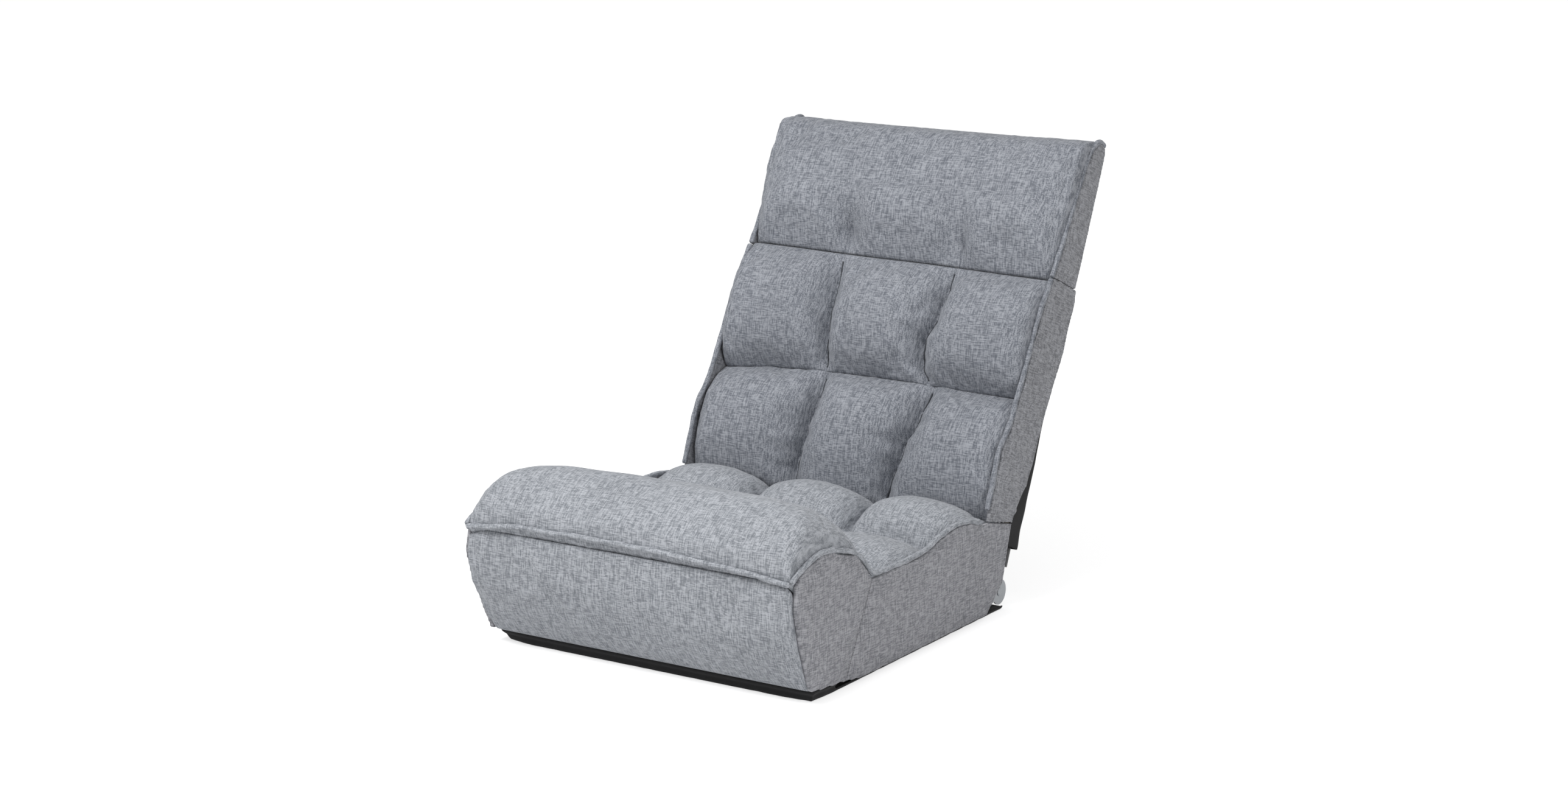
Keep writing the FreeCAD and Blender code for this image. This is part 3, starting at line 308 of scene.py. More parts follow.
def copy_of(node, name):
    """A piece with the node's shape, its loose triangles joined into one skin."""
    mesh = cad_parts[node].data.copy()
    skin = bmesh.new()
    skin.from_mesh(mesh)
    bmesh.ops.remove_doubles(skin, verts=skin.verts, dist=SAME_POINT)
    skin.to_mesh(mesh)
    skin.free()
    mesh.materials.clear()
    return in_room(name, mesh)


def apply_modifiers(piece):
    """Makes what the modifiers do to a piece its own mesh."""
    graph = bpy.context.evaluated_depsgraph_get()
    mesh = bpy.data.meshes.new_from_object(piece.evaluated_get(graph))
    piece.modifiers.clear()
    piece.data = mesh


def even_squares(piece, size):
    """Lays an even mesh of squares of that size over a closed piece."""
    remesh = piece.modifiers.new("even_squares", "REMESH")
    remesh.mode = "VOXEL"
    remesh.voxel_size = size
    apply_modifiers(piece)


# %% [markdown]
# ## Moving points by a rule
# Most of the finer forms here are rules: a function takes a point and gives back where the
# real cloth would be. That is easier to read than a sculpted mesh, and it can be changed.

# %% Move the points of a piece by a rule


def shape(piece, rule, place=UPRIGHT):
    """rule takes and gives a point in the frame of place."""
    back = place.inverted()
    for vertex in piece.data.vertices:
        vertex.co = place @ rule(back @ vertex.co)
    piece.data.update()


def swell(piece, amount):
    """Moves every point out along its normal. amount says how far, for a point."""
    normals = [v.vector.copy() for v in piece.data.vertex_normals]
    for vertex, normal in zip(piece.data.vertices, normals):
        vertex.co += normal * amount(vertex.co)
    piece.data.update()


def between(points, value):
    """Reads a smooth line drawn through (place, value) pairs at one place."""
    if value <= points[0][0]:
        return points[0][1]
    for (a, low), (b, high) in zip(points, points[1:]):
        if value <= b:
            share = (value - a) / (b - a)
            share = share * share * (3 - 2 * share)
            return low + (high - low) * share
    return points[-1][1]


# %% [markdown]
# ## Blowing up a cover
# The stitches are a pinned vertex group. The cloth gets a pressure inside and grows a little,
# as cover is cut a little larger than its filling. It is stepped through a few frames only,
# since the pad is still settling when it looks right, and the last frame is kept as the mesh.
# How far a point may move is capped, so that the pad keeps its place beside its neighbours.

# %% Blow up a cover
PRESSURE = 4.0
LIMPNESS = 0.4
FRAMES = 13


def fill(piece, sewn, cap, growth=0.03):
    """Swells the cover with cloth under pressure. sewn says which points the stitches hold."""
    held = piece.vertex_groups.new(name="sewn")
    held.add([v.index for v in piece.data.vertices if sewn(v.co)], 1.0, "REPLACE")
    rest = [v.co.copy() for v in piece.data.vertices]
    cloth = piece.modifiers.new("filling", "CLOTH")
    cloth.settings.vertex_group_mass = "sewn"
    cloth.settings.quality = 3
    cloth.settings.use_pressure = True
    cloth.settings.uniform_pressure_force = PRESSURE
    cloth.settings.shrink_min = -growth
    cloth.settings.bending_stiffness = LIMPNESS
    cloth.settings.effector_weights.gravity = 0
    cloth.point_cache.frame_start = 1
    cloth.point_cache.frame_end = FRAMES
    for step in range(1, FRAMES + 1):
        bpy.context.scene.frame_set(step)
    graph = bpy.context.evaluated_depsgraph_get()
    swollen = piece.evaluated_get(graph).data
    moved = [(v.co - r) for v, r in zip(swollen.vertices, rest)]
    piece.modifiers.clear()
    piece.vertex_groups.clear()
    most = 0
    for vertex, start, step in zip(piece.data.vertices, rest, moved):
        if step.length > cap:
            step = step * (cap / step.length)
        most = max(most, step.length)
        vertex.co = start + step
    bpy.context.scene.frame_set(1)
    piece.data.update()
    print(f"{piece.name}: {len(rest)} points, moved up to {most / MM:.1f} mm")


def refine(piece):
    """One round of subdivision, so that fine creases have enough points."""
    subdivide = piece.modifiers.new("smooth", "SUBSURF")
    subdivide.levels = 1
    subdivide.render_levels = 1
    apply_modifiers(piece)


def finish_piece(piece, material):
    """Smooth shading and the finish."""
    piece.data.materials.clear()
    piece.data.materials.append(material)
    piece.data.shade_smooth()


print("covers are blown up over", FRAMES, "frames")

# %% [markdown]
# ## The seams between the cells
# The stitched channels aren't straight: the filling pushes them about. Their courses are read
# off the chair as pairs, along the back and across it, and the pads' points are shifted to
# them. They are in millimetres, so a rule that reads them turns its point to those first.

# %% Courses of the channels and seams, in millimetres
BACK_LEFT_CHANNEL = [(100, -86), (121, -89), (178, -84), (226, -79), (272, -79)]
BACK_RIGHT_CHANNEL = [(100, 72), (125, 76), (172, 86), (220, 100), (272, 107)]
UPPER_LEFT_CHANNEL = [(272, -80), (283, -82), (330, -88), (377, -92), (425, -93), (462, -96)]
UPPER_RIGHT_CHANNEL = [(272, 98), (285, 96), (303, 84), (340, 80), (378, 92), (426, 99), (462, 101)]
ROW_SEAM = [(-262, 266), (-170, 275), (-89, 279), (23, 280), (98, 279), (181, 277), (262, 276)]
HEAD_SEAM = [(-262, 465.5), (0, 462), (262, 457.5)]
FOOT_SEAM = [(-262, 93), (262, 93)]
CHANNEL = 90
ROW_END = 262


def bend_channels(left, right, low, high, low_seam, high_seam):
    """A rule that shifts a row's channels and seams from their straight places to their courses."""
    def rule(p):
        x, u = p.x / MM, p.z / MM
        course = between(right if x > 0 else left, u)
        straight = CHANNEL if x > 0 else -CHANNEL
        room = CHANNEL if abs(x) < CHANNEL else ROW_END - CHANNEL
        share = max(0.0, 1 - abs(abs(x) - CHANNEL) / room)
        up = (u - low) / (high - low)
        rise = (between(high_seam, x) - high) * max(0.0, up) ** 1.5
        rise += (between(low_seam, x) - low) * max(0.0, 1 - up) ** 1.5
        return Vector(((x + (course - straight) * share) * MM, p.y, (u + rise) * MM))
    return rule


for name, seam in (("row", ROW_SEAM), ("head", HEAD_SEAM)):
    print("the", name, "seam lies", min(up for x, up in seam), "to", max(up for x, up in seam), "mm up")

# %% [markdown]
# ## Stitch marks and gathers
# Thread pulls a cushion in along a narrow line, and the cloth beside it gathers in short
# folds. The filled mesh is too coarse for these, so they are pressed in afterwards. A channel
# is a steep, narrow valley, and the gathers are a noise that only varies along the seam and
# dies away over about 20 mm beside it.

# %% Press in a channel and gather the cloth beside it


def lumps(x, y, z):
    """Smooth noise at a place, about -1 to 1, that changes over a length of 1."""
    return noise.noise(Vector((x, y, z)))


def ramp(low, high, value):
    """0 below low, 1 above high, and an even rise between them."""
    return max(0.0, min(1.0, (value - low) / (high - low)))


def gathers(along, distance, reach=17 * MM, height=2.8 * MM, wave=12 * MM):
    """Height of the short folds beside a seam, for a place along it and a distance from it."""
    fine = lumps(along / wave * 2.3, 9.1, 0.0)
    ripple = lumps(along / wave, 3.7, 0.0) + 0.6 * fine
    return height * ripple * math.exp(-distance / reach)


def crease(distance, deep, wide=4 * MM):
    """A valley that is sharp at the thread and eases out into the cloth beside it."""
    return deep * (0.55 * math.exp(-distance / wide) + 0.45 * math.exp(-(distance / (4 * wide)) ** 2))


def puffed(off):
    """How full a cell is, 1 in its middle and 0 at its seams, with steep sides."""
    return (1 - min(1.0, abs(off)) ** 4) ** 0.6


print("a cell's fullness from its middle:", [round(puffed(n / 4), 2) for n in range(5)])

# %% [markdown]
# ## The stitched line at the bottom of a channel
# A lockstitch of spun polyester holds each channel down. Its dark grey is painted shade: the
# thread is real, but its colour stands in for the shadow deep in the crease. It is laid on the
# finished pad: a ray finds the cloth at each place of the channel's course, and a thin tube
# follows the places it met. The tube is thicker than real thread, so that it shows in the picture.

# %% Thread
THREAD_TWIST = 1.2 * MM
THREAD_RADIUS = 1.3 * MM
THREAD_LIFT = 0.4 * MM
RAY_START = 0.3
# Painted shade: the thread's dark grey stands in for the shadow at the bottom of each crease.
thread_and_crease_shade = patterned("polyester_thread_painted_crease_shade", "ShaderNodeTexNoise", {},
                        {"Scale": 1 / THREAD_TWIST, "Detail": 1.0},
                        "#232529", "#43464c", {"Roughness": 0.8})


def thread(name, piece, spots, place, outward):
    """Lays a line of stitches on a piece. spots and outward are given in the frame of place."""
    skin = bmesh.new()
    skin.from_mesh(piece.data)
    surface = BVHTree.FromBMesh(skin)
    skin.free()
    turn = place.to_3x3()
    met = []
    for spot in spots:
        hit = surface.ray_cast(place @ (spot + outward * RAY_START), turn @ -outward)[0]
        if hit:
            met.append(hit + turn @ outward * THREAD_LIFT)
    line = bpy.data.curves.new(name, "CURVE")
    line.dimensions = "3D"
    line.bevel_depth = THREAD_RADIUS
    line.bevel_resolution = 1
    line.use_fill_caps = True
    run = line.splines.new("POLY")
    run.points.add(len(met) - 1)
    for point, where in zip(run.points, met):
        point.co = (*where, 1)
    drawn = in_room(name + "_line", line)
    bpy.context.view_layer.update()
    mesh = bpy.data.meshes.new_from_object(drawn.evaluated_get(bpy.context.evaluated_depsgraph_get()))
    bpy.data.objects.remove(drawn)
    stitched = in_room(name, mesh)
    finish_piece(stitched, thread_and_crease_shade)
    print(name, len(met), "places")
    return stitched


# %% [markdown]
# ## The back's two tufted rows
# Each row is one cover with three cells. The stitches hold its rear, both ends, its two long
# seams and the two channels, and everything between them is free to swell. The channels are
# bent to their courses first, because the stitches hold the cloth where they run.

# %% The lower row and the middle row
PAD_SQUARE = 5 * MM
CELL_FOOT = 76 * MM
STITCH_REACH = 4
CHANNEL_HELD = 6 * MM
SEAM_HELD = 4 * MM
END_REACH = 3 * MM
ROW_CAP = 9 * MM


def back_row(node, left, right, low, high, low_seam, high_seam):
    """One row of the back, its ends low and high in mm up the back, blown up."""
    piece = copy_of(node, node + "_cover")
    even_squares(piece, PAD_SQUARE)
    shape(piece, bend_channels(left, right, low, high, low_seam, high_seam), LEANING)
    back = LEANING.inverted()

    def sewn(point):
        p = back @ point
        x, u = p.x / MM, p.z / MM
        near = between(right if x > 0 else left, u)
        on_channel = abs(x - near) < STITCH_REACH and -p.y > CELL_FOOT - CHANNEL_HELD
        on_seam = -p.y < CELL_FOOT - SEAM_HELD
        return on_channel or on_seam or abs(p.x) > HALF_WIDTH - END_REACH

    fill(piece, sewn, cap=ROW_CAP)
    refine(piece)
    return piece


lower_row = back_row("back_pad_lower", BACK_LEFT_CHANNEL, BACK_RIGHT_CHANNEL,
                     93, 271.7, FOOT_SEAM, ROW_SEAM)
middle_row = back_row("back_pad_middle", UPPER_LEFT_CHANNEL, UPPER_RIGHT_CHANNEL,
                      272, 461.7, ROW_SEAM, HEAD_SEAM)

# %% [markdown]
# ## Squaring the cells
# Blown-up cells are round, and the real ones are fuller: flat on top with steep sides, like
# small loaves. So each point sinks by how far out it lies in its own cell, the channels and
# gathers are pressed in, and the outer cells are lifted again where they near the welt.

# %% Press in their channels and square their cells
SINK = 9 * MM
FULLER = 3 * MM
CHANNEL_DEEP = 13 * MM
END_DEEP = 8 * MM
END_WIDE = 3 * MM
FRONT_FROM, FRONT_WHOLE = 64, 80
OUTER_SIDE = 0.75
LIFT_FROM, LIFT_WHOLE = 195, 252


def press_channels(piece, left, right, low_seam, high_seam, end_lift):
    """Squares the cells of one row, and presses its channels, ends and gathers into it."""
    def rule(p):
        x, u = p.x / MM, p.z / MM
        front = ramp(FRONT_FROM, FRONT_WHOLE, -p.y / MM)
        near = between(right if x > 0 else left, u)
        ends = [-ROW_END, between(left, u), between(right, u), ROW_END]
        cell = sum(x > end for end in ends[1:3])
        middle, half = (ends[cell] + ends[cell + 1]) / 2, (ends[cell + 1] - ends[cell]) / 2
        across = (x - middle) / half
        if abs(x) > abs(middle) and cell != 1:
            across *= OUTER_SIDE
        bottom, top = between(low_seam, x), between(high_seam, x)
        up = 2 * (u - bottom) / (top - bottom) - 1
        sink = SINK * (1 - puffed(across) * puffed(up)) - FULLER
        sink -= end_lift * ramp(LIFT_FROM, LIFT_WHOLE, abs(x)) ** 1.5 * puffed(up)
        off = abs(x - near) * MM
        press = crease(off, CHANNEL_DEEP) + crease(HALF_WIDTH - abs(p.x), END_DEEP, END_WIDE)
        fold = gathers(p.z + (0.1 if x > 0 else 0.4), off)
        edge = max(0.0, min(u - bottom, top - u)) * MM
        fold += gathers(p.x, edge, height=3.4 * MM, wave=14 * MM)
        return Vector((p.x, p.y + (sink + press - fold) * front, p.z))
    shape(piece, rule, LEANING)


press_channels(lower_row, BACK_LEFT_CHANNEL, BACK_RIGHT_CHANNEL, FOOT_SEAM, ROW_SEAM, 7 * MM)
press_channels(middle_row, UPPER_LEFT_CHANNEL, UPPER_RIGHT_CHANNEL, ROW_SEAM, HEAD_SEAM, 13 * MM)

# %% Let the foot hang down and finish both rows
FOOT_DROP = 14 * MM
FOOT_FROM, FOOT_WHOLE = 125, 93


def reach_down(p):
    """The lower row's foot hangs down behind the seat's cells."""
    return Vector((p.x, p.y, p.z - FOOT_DROP * ramp(FOOT_FROM, FOOT_WHOLE, p.z / MM)))


shape(lower_row, reach_down, LEANING)
for piece, node in ((lower_row, "back_pad_lower"), (middle_row, "back_pad_middle")):
    finish_piece(piece, back_weave_painted_shade)
    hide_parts(node)
    print(piece.name, len(piece.data.polygons), "faces")

# %% [markdown]
# ## Stitches, and the two folds of the chair
# Each channel gets its line of stitches, every 5 mm. The lower row has one foot on the seat and its
# head on the back, and the middle row reaches from the back to the headrest, so neither is
# attached to a body: each row and its stitches have their places baked into their meshes.

# %% Stitch the rows and bake their places
FORWARD = Vector((0, -1, 0))
STITCH = 5
across_hinge = [lower_row]
across_neck = [middle_row]
for name, piece, course, low, high in (
    ("lower_row_thread_and_shade_1", lower_row, BACK_LEFT_CHANNEL, 88, 270),
    ("lower_row_thread_and_shade_2", lower_row, BACK_RIGHT_CHANNEL, 88, 270),
    ("middle_row_thread_and_shade_1", middle_row, UPPER_LEFT_CHANNEL, 286, 456),
    ("middle_row_thread_and_shade_2", middle_row, UPPER_RIGHT_CHANNEL, 286, 456),
):
    spots = [Vector((between(course, u) * MM, 0, u * MM)) for u in range(low, high, STITCH)]
    stitched = thread(name, piece, spots, LEANING, FORWARD)
    if piece is lower_row:
        across_hinge.append(stitched)
    else:
        across_neck.append(stitched)
for piece in across_hinge:
    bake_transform(piece)
for piece in across_neck:
    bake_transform(piece)

# %% [markdown]
# ## The headrest
# The headrest is one long pillow over the top of its tube. Two ties just above its lower seam
# pull short creases into it, which are the two dimples that catch the shade. They could be
# pinned points in the cloth, but a rule sets how deep and how wide the dimples are.

# %% Blow up the head pillow
head_pillow = copy_of("head_pad", "head_pillow")
even_squares(head_pillow, PAD_SQUARE)
to_back = LEANING.inverted()


def head_sewn(point):
    p = to_back @ point
    return -p.y < 12 * MM or p.z < 467 * MM or abs(p.x) > HALF_WIDTH - END_REACH


fill(head_pillow, head_sewn, cap=7 * MM, growth=0.02)
refine(head_pillow)

# %% Dimple it and spill its ends
HEAD_SPILL = 10 * MM
FAR_SPILL, NEAR_SPILL = 1, 0.3
HEAD_BLUNT = 17 * MM
HEAD_CROWN = 668
NECK = 462
NECK_REACH = 90 * MM
HEAD_TIES = [(-92 * MM, 498 * MM), (107 * MM, 496 * MM)]
TIE_DEEP, TIE_WIDE, TIE_TALL = 12 * MM, 5 * MM, 26 * MM
DIP_DEEP, DIP_WIDE, DIP_TALL = 8 * MM, 24 * MM, 34 * MM


def tied(x, u):
    """How deep the two ties pull the pillow in: a sharp crease in the middle of a wide dip."""
    press = 0.0
    for tie_x, tie_u in HEAD_TIES:
        sharp = math.exp(-abs(x - tie_x) / TIE_WIDE) * math.exp(-((u - tie_u) / TIE_TALL) ** 2)
        wide = math.exp(-((x - tie_x) / DIP_WIDE) ** 2) * math.exp(-((u - tie_u) / DIP_TALL) ** 2)
        press += TIE_DEEP * sharp + DIP_DEEP * wide
    return press


def head_shape(p):
    """Dimples, gathers and lumps in front, full corners, and a blunt crown at the top."""
    x, u = p.x, p.z
    front = ramp(30, 45, -p.y / MM)
    press = tied(x, u) + crease(HALF_WIDTH - abs(x), 5 * MM, END_WIDE)
    fold = gathers(x, u - NECK * MM, height=2.2 * MM)
    fold += gathers(u, HALF_WIDTH - abs(x), reach=9 * MM, height=2 * MM)
    low = (between(HEAD_SEAM, x / MM) - NECK) * MM * max(0.0, 1 - (u - NECK * MM) / NECK_REACH)
    lump = 1.5 * MM * lumps(x / 0.08, 2.1, u / 0.06)
    corner = ramp(515, 580, u / MM) * ramp(215, ROW_END, abs(x) / MM) ** 2
    spill = HEAD_SPILL * corner * (FAR_SPILL if x < 0 else NEAR_SPILL)
    blunt = HEAD_BLUNT * math.exp(-((u / MM - HEAD_CROWN) / 25) ** 2) * ramp(5, 30, -p.y / MM)
    return Vector((x + math.copysign(spill, x), p.y + (press - fold - lump) * front - blunt, u + low))


shape(head_pillow, head_shape, LEANING)
finish_piece(head_pillow, back_weave_painted_shade)
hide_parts("head_pad")
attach(head_pillow, "headrest")
print("a tie pulls the pillow in by", round(tied(*HEAD_TIES[0]) / MM, 1), "mm")

# %% [markdown]
# ## The seat's two tufted rows
# The seat has the same three cells in two rows. The rear row is full and round where it meets
# the back, and the row before it is lower and half hidden behind the front roll. They are
# made like the back's rows, but lie flat, so their rules work straight in the room's frame.

# %% The rear row and the second row
SEAT_FOOT = 119 * MM
SEAT_DEEP = 9 * MM


def seat_row(node, low, high):
    """One row of the seat, from low to high along y, blown up, pressed in and stitched."""
    piece = copy_of(node, node + "_cover")
    even_squares(piece, PAD_SQUARE)

    def sewn(point):
        x = point.x / MM
        off = min(abs(x - CHANNEL), abs(x + CHANNEL))
        on_channel = off < STITCH_REACH and point.z > SEAT_FOOT - CHANNEL_HELD
        on_seam = point.z < SEAT_FOOT - SEAM_HELD
        return on_channel or on_seam or abs(point.x) > HALF_WIDTH - END_REACH

    fill(piece, sewn, cap=ROW_CAP)
    refine(piece)

    def rule(p):
        up = ramp(SEAT_FOOT - 8 * MM, SEAT_FOOT + 2 * MM, p.z)
        off = min(abs(p.x - CHANNEL * MM), abs(p.x + CHANNEL * MM))
        edge = min(abs(p.y - low), abs(p.y - high))
        fold = gathers(p.y, off) + gathers(p.x, edge)
        return Vector((p.x, p.y, p.z - (crease(off, SEAT_DEEP) - fold) * up))

    shape(piece, rule)
    finish_piece(piece, seat_weave)
    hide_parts(node)
    # Each stitch line is real thread, painted dark as the shade of its crease.
    for number, x in enumerate((-CHANNEL, CHANNEL), 1):
        course = range(round(low / MM) + 8, round(high / MM) - 6, STITCH)
        spots = [Vector((x * MM, y * MM, 0)) for y in course]
        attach(thread(f"{node}_thread_{number}", piece, spots, UPRIGHT, Vector((0, 0, 1))), "seat")
    return piece


seat_rear_row = seat_row("seat_pad_rear", 70 * MM, 200 * MM)
seat_middle_row = seat_row("seat_pad_middle", -112 * MM, 70 * MM)

# %% Let the rear row spill under the back
REAR_SPILL = 12 * MM


def spill_back(p):
    return Vector((p.x, p.y + REAR_SPILL * ramp(150 * MM, 200 * MM, p.y), p.z))


shape(seat_rear_row, spill_back)
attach(seat_middle_row, "seat")
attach(seat_rear_row, "seat")

# %% [markdown]
# ## The front roll and the front panel
# The roll is one plump cushion across the knees. Its front seam is pulled tight, so the cloth
# above it gathers, and its ends are drawn in. The panel under it is a thinner pad. The filling
# has shifted to one front corner, so a rule lets all pieces that meet there stand out alike.

# %% How far the front corner stands out
CHEEK = [(20, 2), (66, 6), (105, 12), (140, 13), (178, 9), (215, 6), (250, 0)]


def cheek(p):
    """Lets the filling push one front corner out sideways, by CHEEK's (height, out) pairs."""
    share = ramp(-175 * MM, -ROW_END * MM, p.x) ** 2 * ramp(-200 * MM, -290 * MM, p.y)
    return Vector((p.x - between(CHEEK, p.z / MM) * MM * share, p.y, p.z))


print("the corner stands out up to", max(out for height, out in CHEEK), "mm")

# %% Fill the roll
FRONT_SEAM = 318 * MM
FRONT_GROWTH = 0.015
ROLL_LUMP = 3 * MM
front_roll = copy_of("front_bolster", "front_roll")
even_squares(front_roll, PAD_SQUARE)


def roll_sewn(p):
    return p.z < 140 * MM or p.y < -313 * MM or abs(p.x) > HALF_WIDTH - END_REACH


def roll_shape(p):
    """Short folds over the seam, soft lumps on top and pleats at both ends."""
    high = ramp(150 * MM, 170 * MM, p.z)
    fold = gathers(p.x, abs(p.y + FRONT_SEAM), height=2 * MM, wave=16 * MM)
    lump = ROLL_LUMP * lumps(p.x / 0.09, p.y / 0.07, 1.3)
    pleat = gathers(p.y, HALF_WIDTH - abs(p.x), reach=12 * MM, height=2.5 * MM)
    return cheek(Vector((p.x, p.y, p.z + (fold + lump + pleat) * high)))


fill(front_roll, roll_sewn, cap=7 * MM, growth=FRONT_GROWTH)
refine(front_roll)
shape(front_roll, roll_shape)

# %% Fill the panel
PANEL_WAVE = 2.2 * MM
front_pad = copy_of("front_panel", "front_pad")
even_squares(front_pad, PAD_SQUARE)


def panel_sewn(p):
    in_seam = p.y > -262 * MM or p.z < 24 * MM or p.z > 172 * MM
    return in_seam or abs(p.x) > HALF_WIDTH - END_REACH


def panel_shape(p):
    """Shallow waves, as the cloth hangs between its two seams."""
    wave = PANEL_WAVE * lumps(p.x / 0.11, 5.2, p.z / 0.05)
    held = ramp(18 * MM, 50 * MM, p.z) * ramp(178 * MM, 150 * MM, p.z)
    return cheek(Vector((p.x, p.y - wave * held, p.z)))


fill(front_pad, panel_sewn, cap=5 * MM, growth=FRONT_GROWTH)
refine(front_pad)
shape(front_pad, panel_shape)

# %% Finish both
for piece, node in ((front_roll, "front_bolster"), (front_pad, "front_panel")):
    finish_piece(piece, seat_weave)
    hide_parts(node)
    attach(piece, "seat")

# %% [markdown]
# ## The side panels
# The sides are flat pieces of cover over thin foam, sewn all round, so each one is a low pillow
# of its own. They are too thin for 5 mm squares, so they start a little thicker and finer.
# The back's panels have their places baked into their meshes, and the rest ride on the seat and
# the headrest.

# %% Fill a side panel
SIDE_SQUARE = 2.6 * MM
SIDE_THICKER = 2.0 * MM
SIDE_FACE = 264 * MM
SIDE_SEWN = 265.8 * MM


def side_panel(node, weave, cap, growth):
    """A side panel, thickened outwards and blown up. The stitches hold all but its face."""
    piece = copy_of(node, node + "_pad")
    side = 1 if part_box(node)[1][0] > 0 else -1

    def thicken(p):
        return Vector((p.x + (SIDE_THICKER * side if abs(p.x) > SIDE_FACE else 0), p.y, p.z))

    shape(piece, thicken)
    even_squares(piece, SIDE_SQUARE)
    fill(piece, lambda p: abs(p.x) < SIDE_SEWN, cap=cap, growth=growth)
    finish_piece(piece, weave)
    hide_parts(node)
    return piece


# %% The back's slanting folds, and all the panels
FOLDS = [(118, 0.9), (172, 0.75), (262, 0.6)]
FOLD_HEIGHT = 3.2 * MM
FOLD_WIDE = 7
FOLD_MIDDLE = 40


def side_folds(p):
    """Slanting folds low on the back's side, where the cloth is pushed together."""
    t, u = -p.y / MM, p.z / MM
    out = 0.0
    for start, slope in FOLDS:
        off = (u - start - slope * (t - FOLD_MIDDLE)) / FOLD_WIDE
        out += FOLD_HEIGHT * math.exp(-off * off) * ramp(0, 45, t)
    out += 1.5 * MM * lumps(t / 45, u / 60, 4.4)
    return Vector((p.x + math.copysign(out, p.x), p.y, p.z))


for tag in ("left", "right"):
    cap_pad = side_panel(f"end_cap_{tag}", side_weave_painted_shade, 7 * MM, 0.01)
    shape(cap_pad, cheek)
    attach(cap_pad, "seat")
    seat_side = side_panel(f"seat_border_{tag}", side_weave_painted_shade, 4 * MM, 0.01)
    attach(seat_side, "seat")
    back_side = side_panel(f"back_border_{tag}", back_side_weave_painted_shade, 4 * MM, 0.03)
    shape(back_side, side_folds, LEANING)
    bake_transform(back_side)
    head_side = side_panel(f"head_border_{tag}", back_side_weave_painted_shade, 4 * MM, 0.01)
    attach(head_side, "headrest")

# %% [markdown]
# ## Welts
# Where a pad meets a side panel, both cloths are folded out and sewn into a ridge, a self welt.
# It is a plump cord with an uneven, hand-guided line. The solid's thin cord gives its course.
# A curve with a bevel would be too even, so the cord's own mesh is swelled and let wander.

# %% Roll the welts
WELT_SQUARE = 1.6 * MM
WELT_GAIN = 1.5 * MM
WELT_UNEVEN = 0.9 * MM
WELT_STRAY = 1.8 * MM


def wander(p):
    """Lets a welt stray from its seam, as a hand-guided line does."""
    aside = lumps(p.x / 0.035, p.y / 0.035, p.z / 0.035)
    along = lumps(p.x / 0.03, p.y / 0.03, p.z / 0.03 + 40)
    return Vector((p.x, p.y + WELT_STRAY * aside, p.z + WELT_STRAY * along))


def plump(p):
    """How much thicker than the solid's cord the welt is at a point."""
    return WELT_GAIN + WELT_UNEVEN * lumps(p.x / 0.02, p.y / 0.014, p.z / 0.014)


def welt(node, weave):
    piece = copy_of(node, node + "_welt")
    even_squares(piece, WELT_SQUARE)
    swell(piece, plump)
    shape(piece, lambda p: cheek(wander(p)))
    finish_piece(piece, weave)
    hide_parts(node)
    return piece


for tag in ("left", "right"):
    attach(welt(f"seat_piping_{tag}", seat_weave), "seat")
    back_welt = welt(f"back_piping_{tag}", back_weave_painted_shade)
    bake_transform(back_welt)
    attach(welt(f"head_piping_{tag}", back_weave_painted_shade), "headrest")
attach(welt("front_welt", seat_weave), "seat")
print("the welts are", WELT_GAIN / MM, "mm thicker all round than their solids")

# %% [markdown]
# ## Foam blocks and straps
# Under the covers lie cut foam blocks, whose edges are rounded by the cover's pull, on straps
# of webbing that are riveted between the tubes and sag a little in the middle. A solid comes
# as triangles, and a bevel needs clean edges, so edges inside flat faces are dissolved first.

# %% Round the foam
FLAT_ANGLE = 0.01


def rounded_block(node, name, body, radius):
    """A foam block with its edges bevelled to that radius."""
    piece = copy_of(node, name)
    block = bmesh.new()
    block.from_mesh(piece.data)
    flat = [e for e in block.edges if len(e.link_faces) == 2 and e.calc_face_angle() < FLAT_ANGLE]
    bmesh.ops.dissolve_edges(block, edges=flat, use_verts=True)
    bmesh.ops.bevel(block, geom=block.edges[:], offset=radius, offset_type="OFFSET", affect="EDGES",
                    segments=4, profile=0.5, material=-1)
    block.to_mesh(piece.data)
    block.free()
    finish_piece(piece, cut_foam)
    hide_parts(node)
    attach(piece, body)
    print(name, "rounded by", radius / MM, "mm")


rounded_block("seat_foam", "seat_foam_block", "seat", 8 * MM)
rounded_block("back_foam", "back_foam_block", "backrest", 6 * MM)
rounded_block("head_foam", "head_foam_wedge", "headrest", 5 * MM)

# %% Cut across and hang the straps
STRAP_HALF = 244 * MM
STRAP_PARTS = 12
SAG = 3 * MM


def cut_across(mesh, half, parts, axes):
    """Cuts a mesh into even parts along each of those axes, so that it can bend."""
    cut = bmesh.new()
    cut.from_mesh(mesh)
    for n in range(1, parts):
        for axis in axes:
            where, facing = [0, 0, 0], [0, 0, 0]
            where[axis] = 2 * half * n / parts - half
            facing[axis] = 1
            bmesh.ops.bisect_plane(cut, geom=cut.verts[:] + cut.edges[:] + cut.faces[:],
                                   plane_co=where, plane_no=facing)
    cut.to_mesh(mesh)
    cut.free()


def straps(node, body, depth, place):
    """Straps that hang by depth in the middle. depth is given in the frame of place."""
    piece = copy_of(node, node + "_straps")
    cut_across(piece.data, STRAP_HALF, STRAP_PARTS, (0,))
    shape(piece, lambda p: p + depth * (1 - (p.x / STRAP_HALF) ** 2), place)
    finish_piece(piece, webbing)
    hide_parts(node)
    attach(piece, body)
    print(piece.name, "sag by", round(depth.length / MM, 1), "mm")


straps("seat_webbing", "seat", Vector((0, 0, -SAG)), UPRIGHT)
straps("back_webbing", "backrest", Vector((0, SAG, 0)), LEANING)

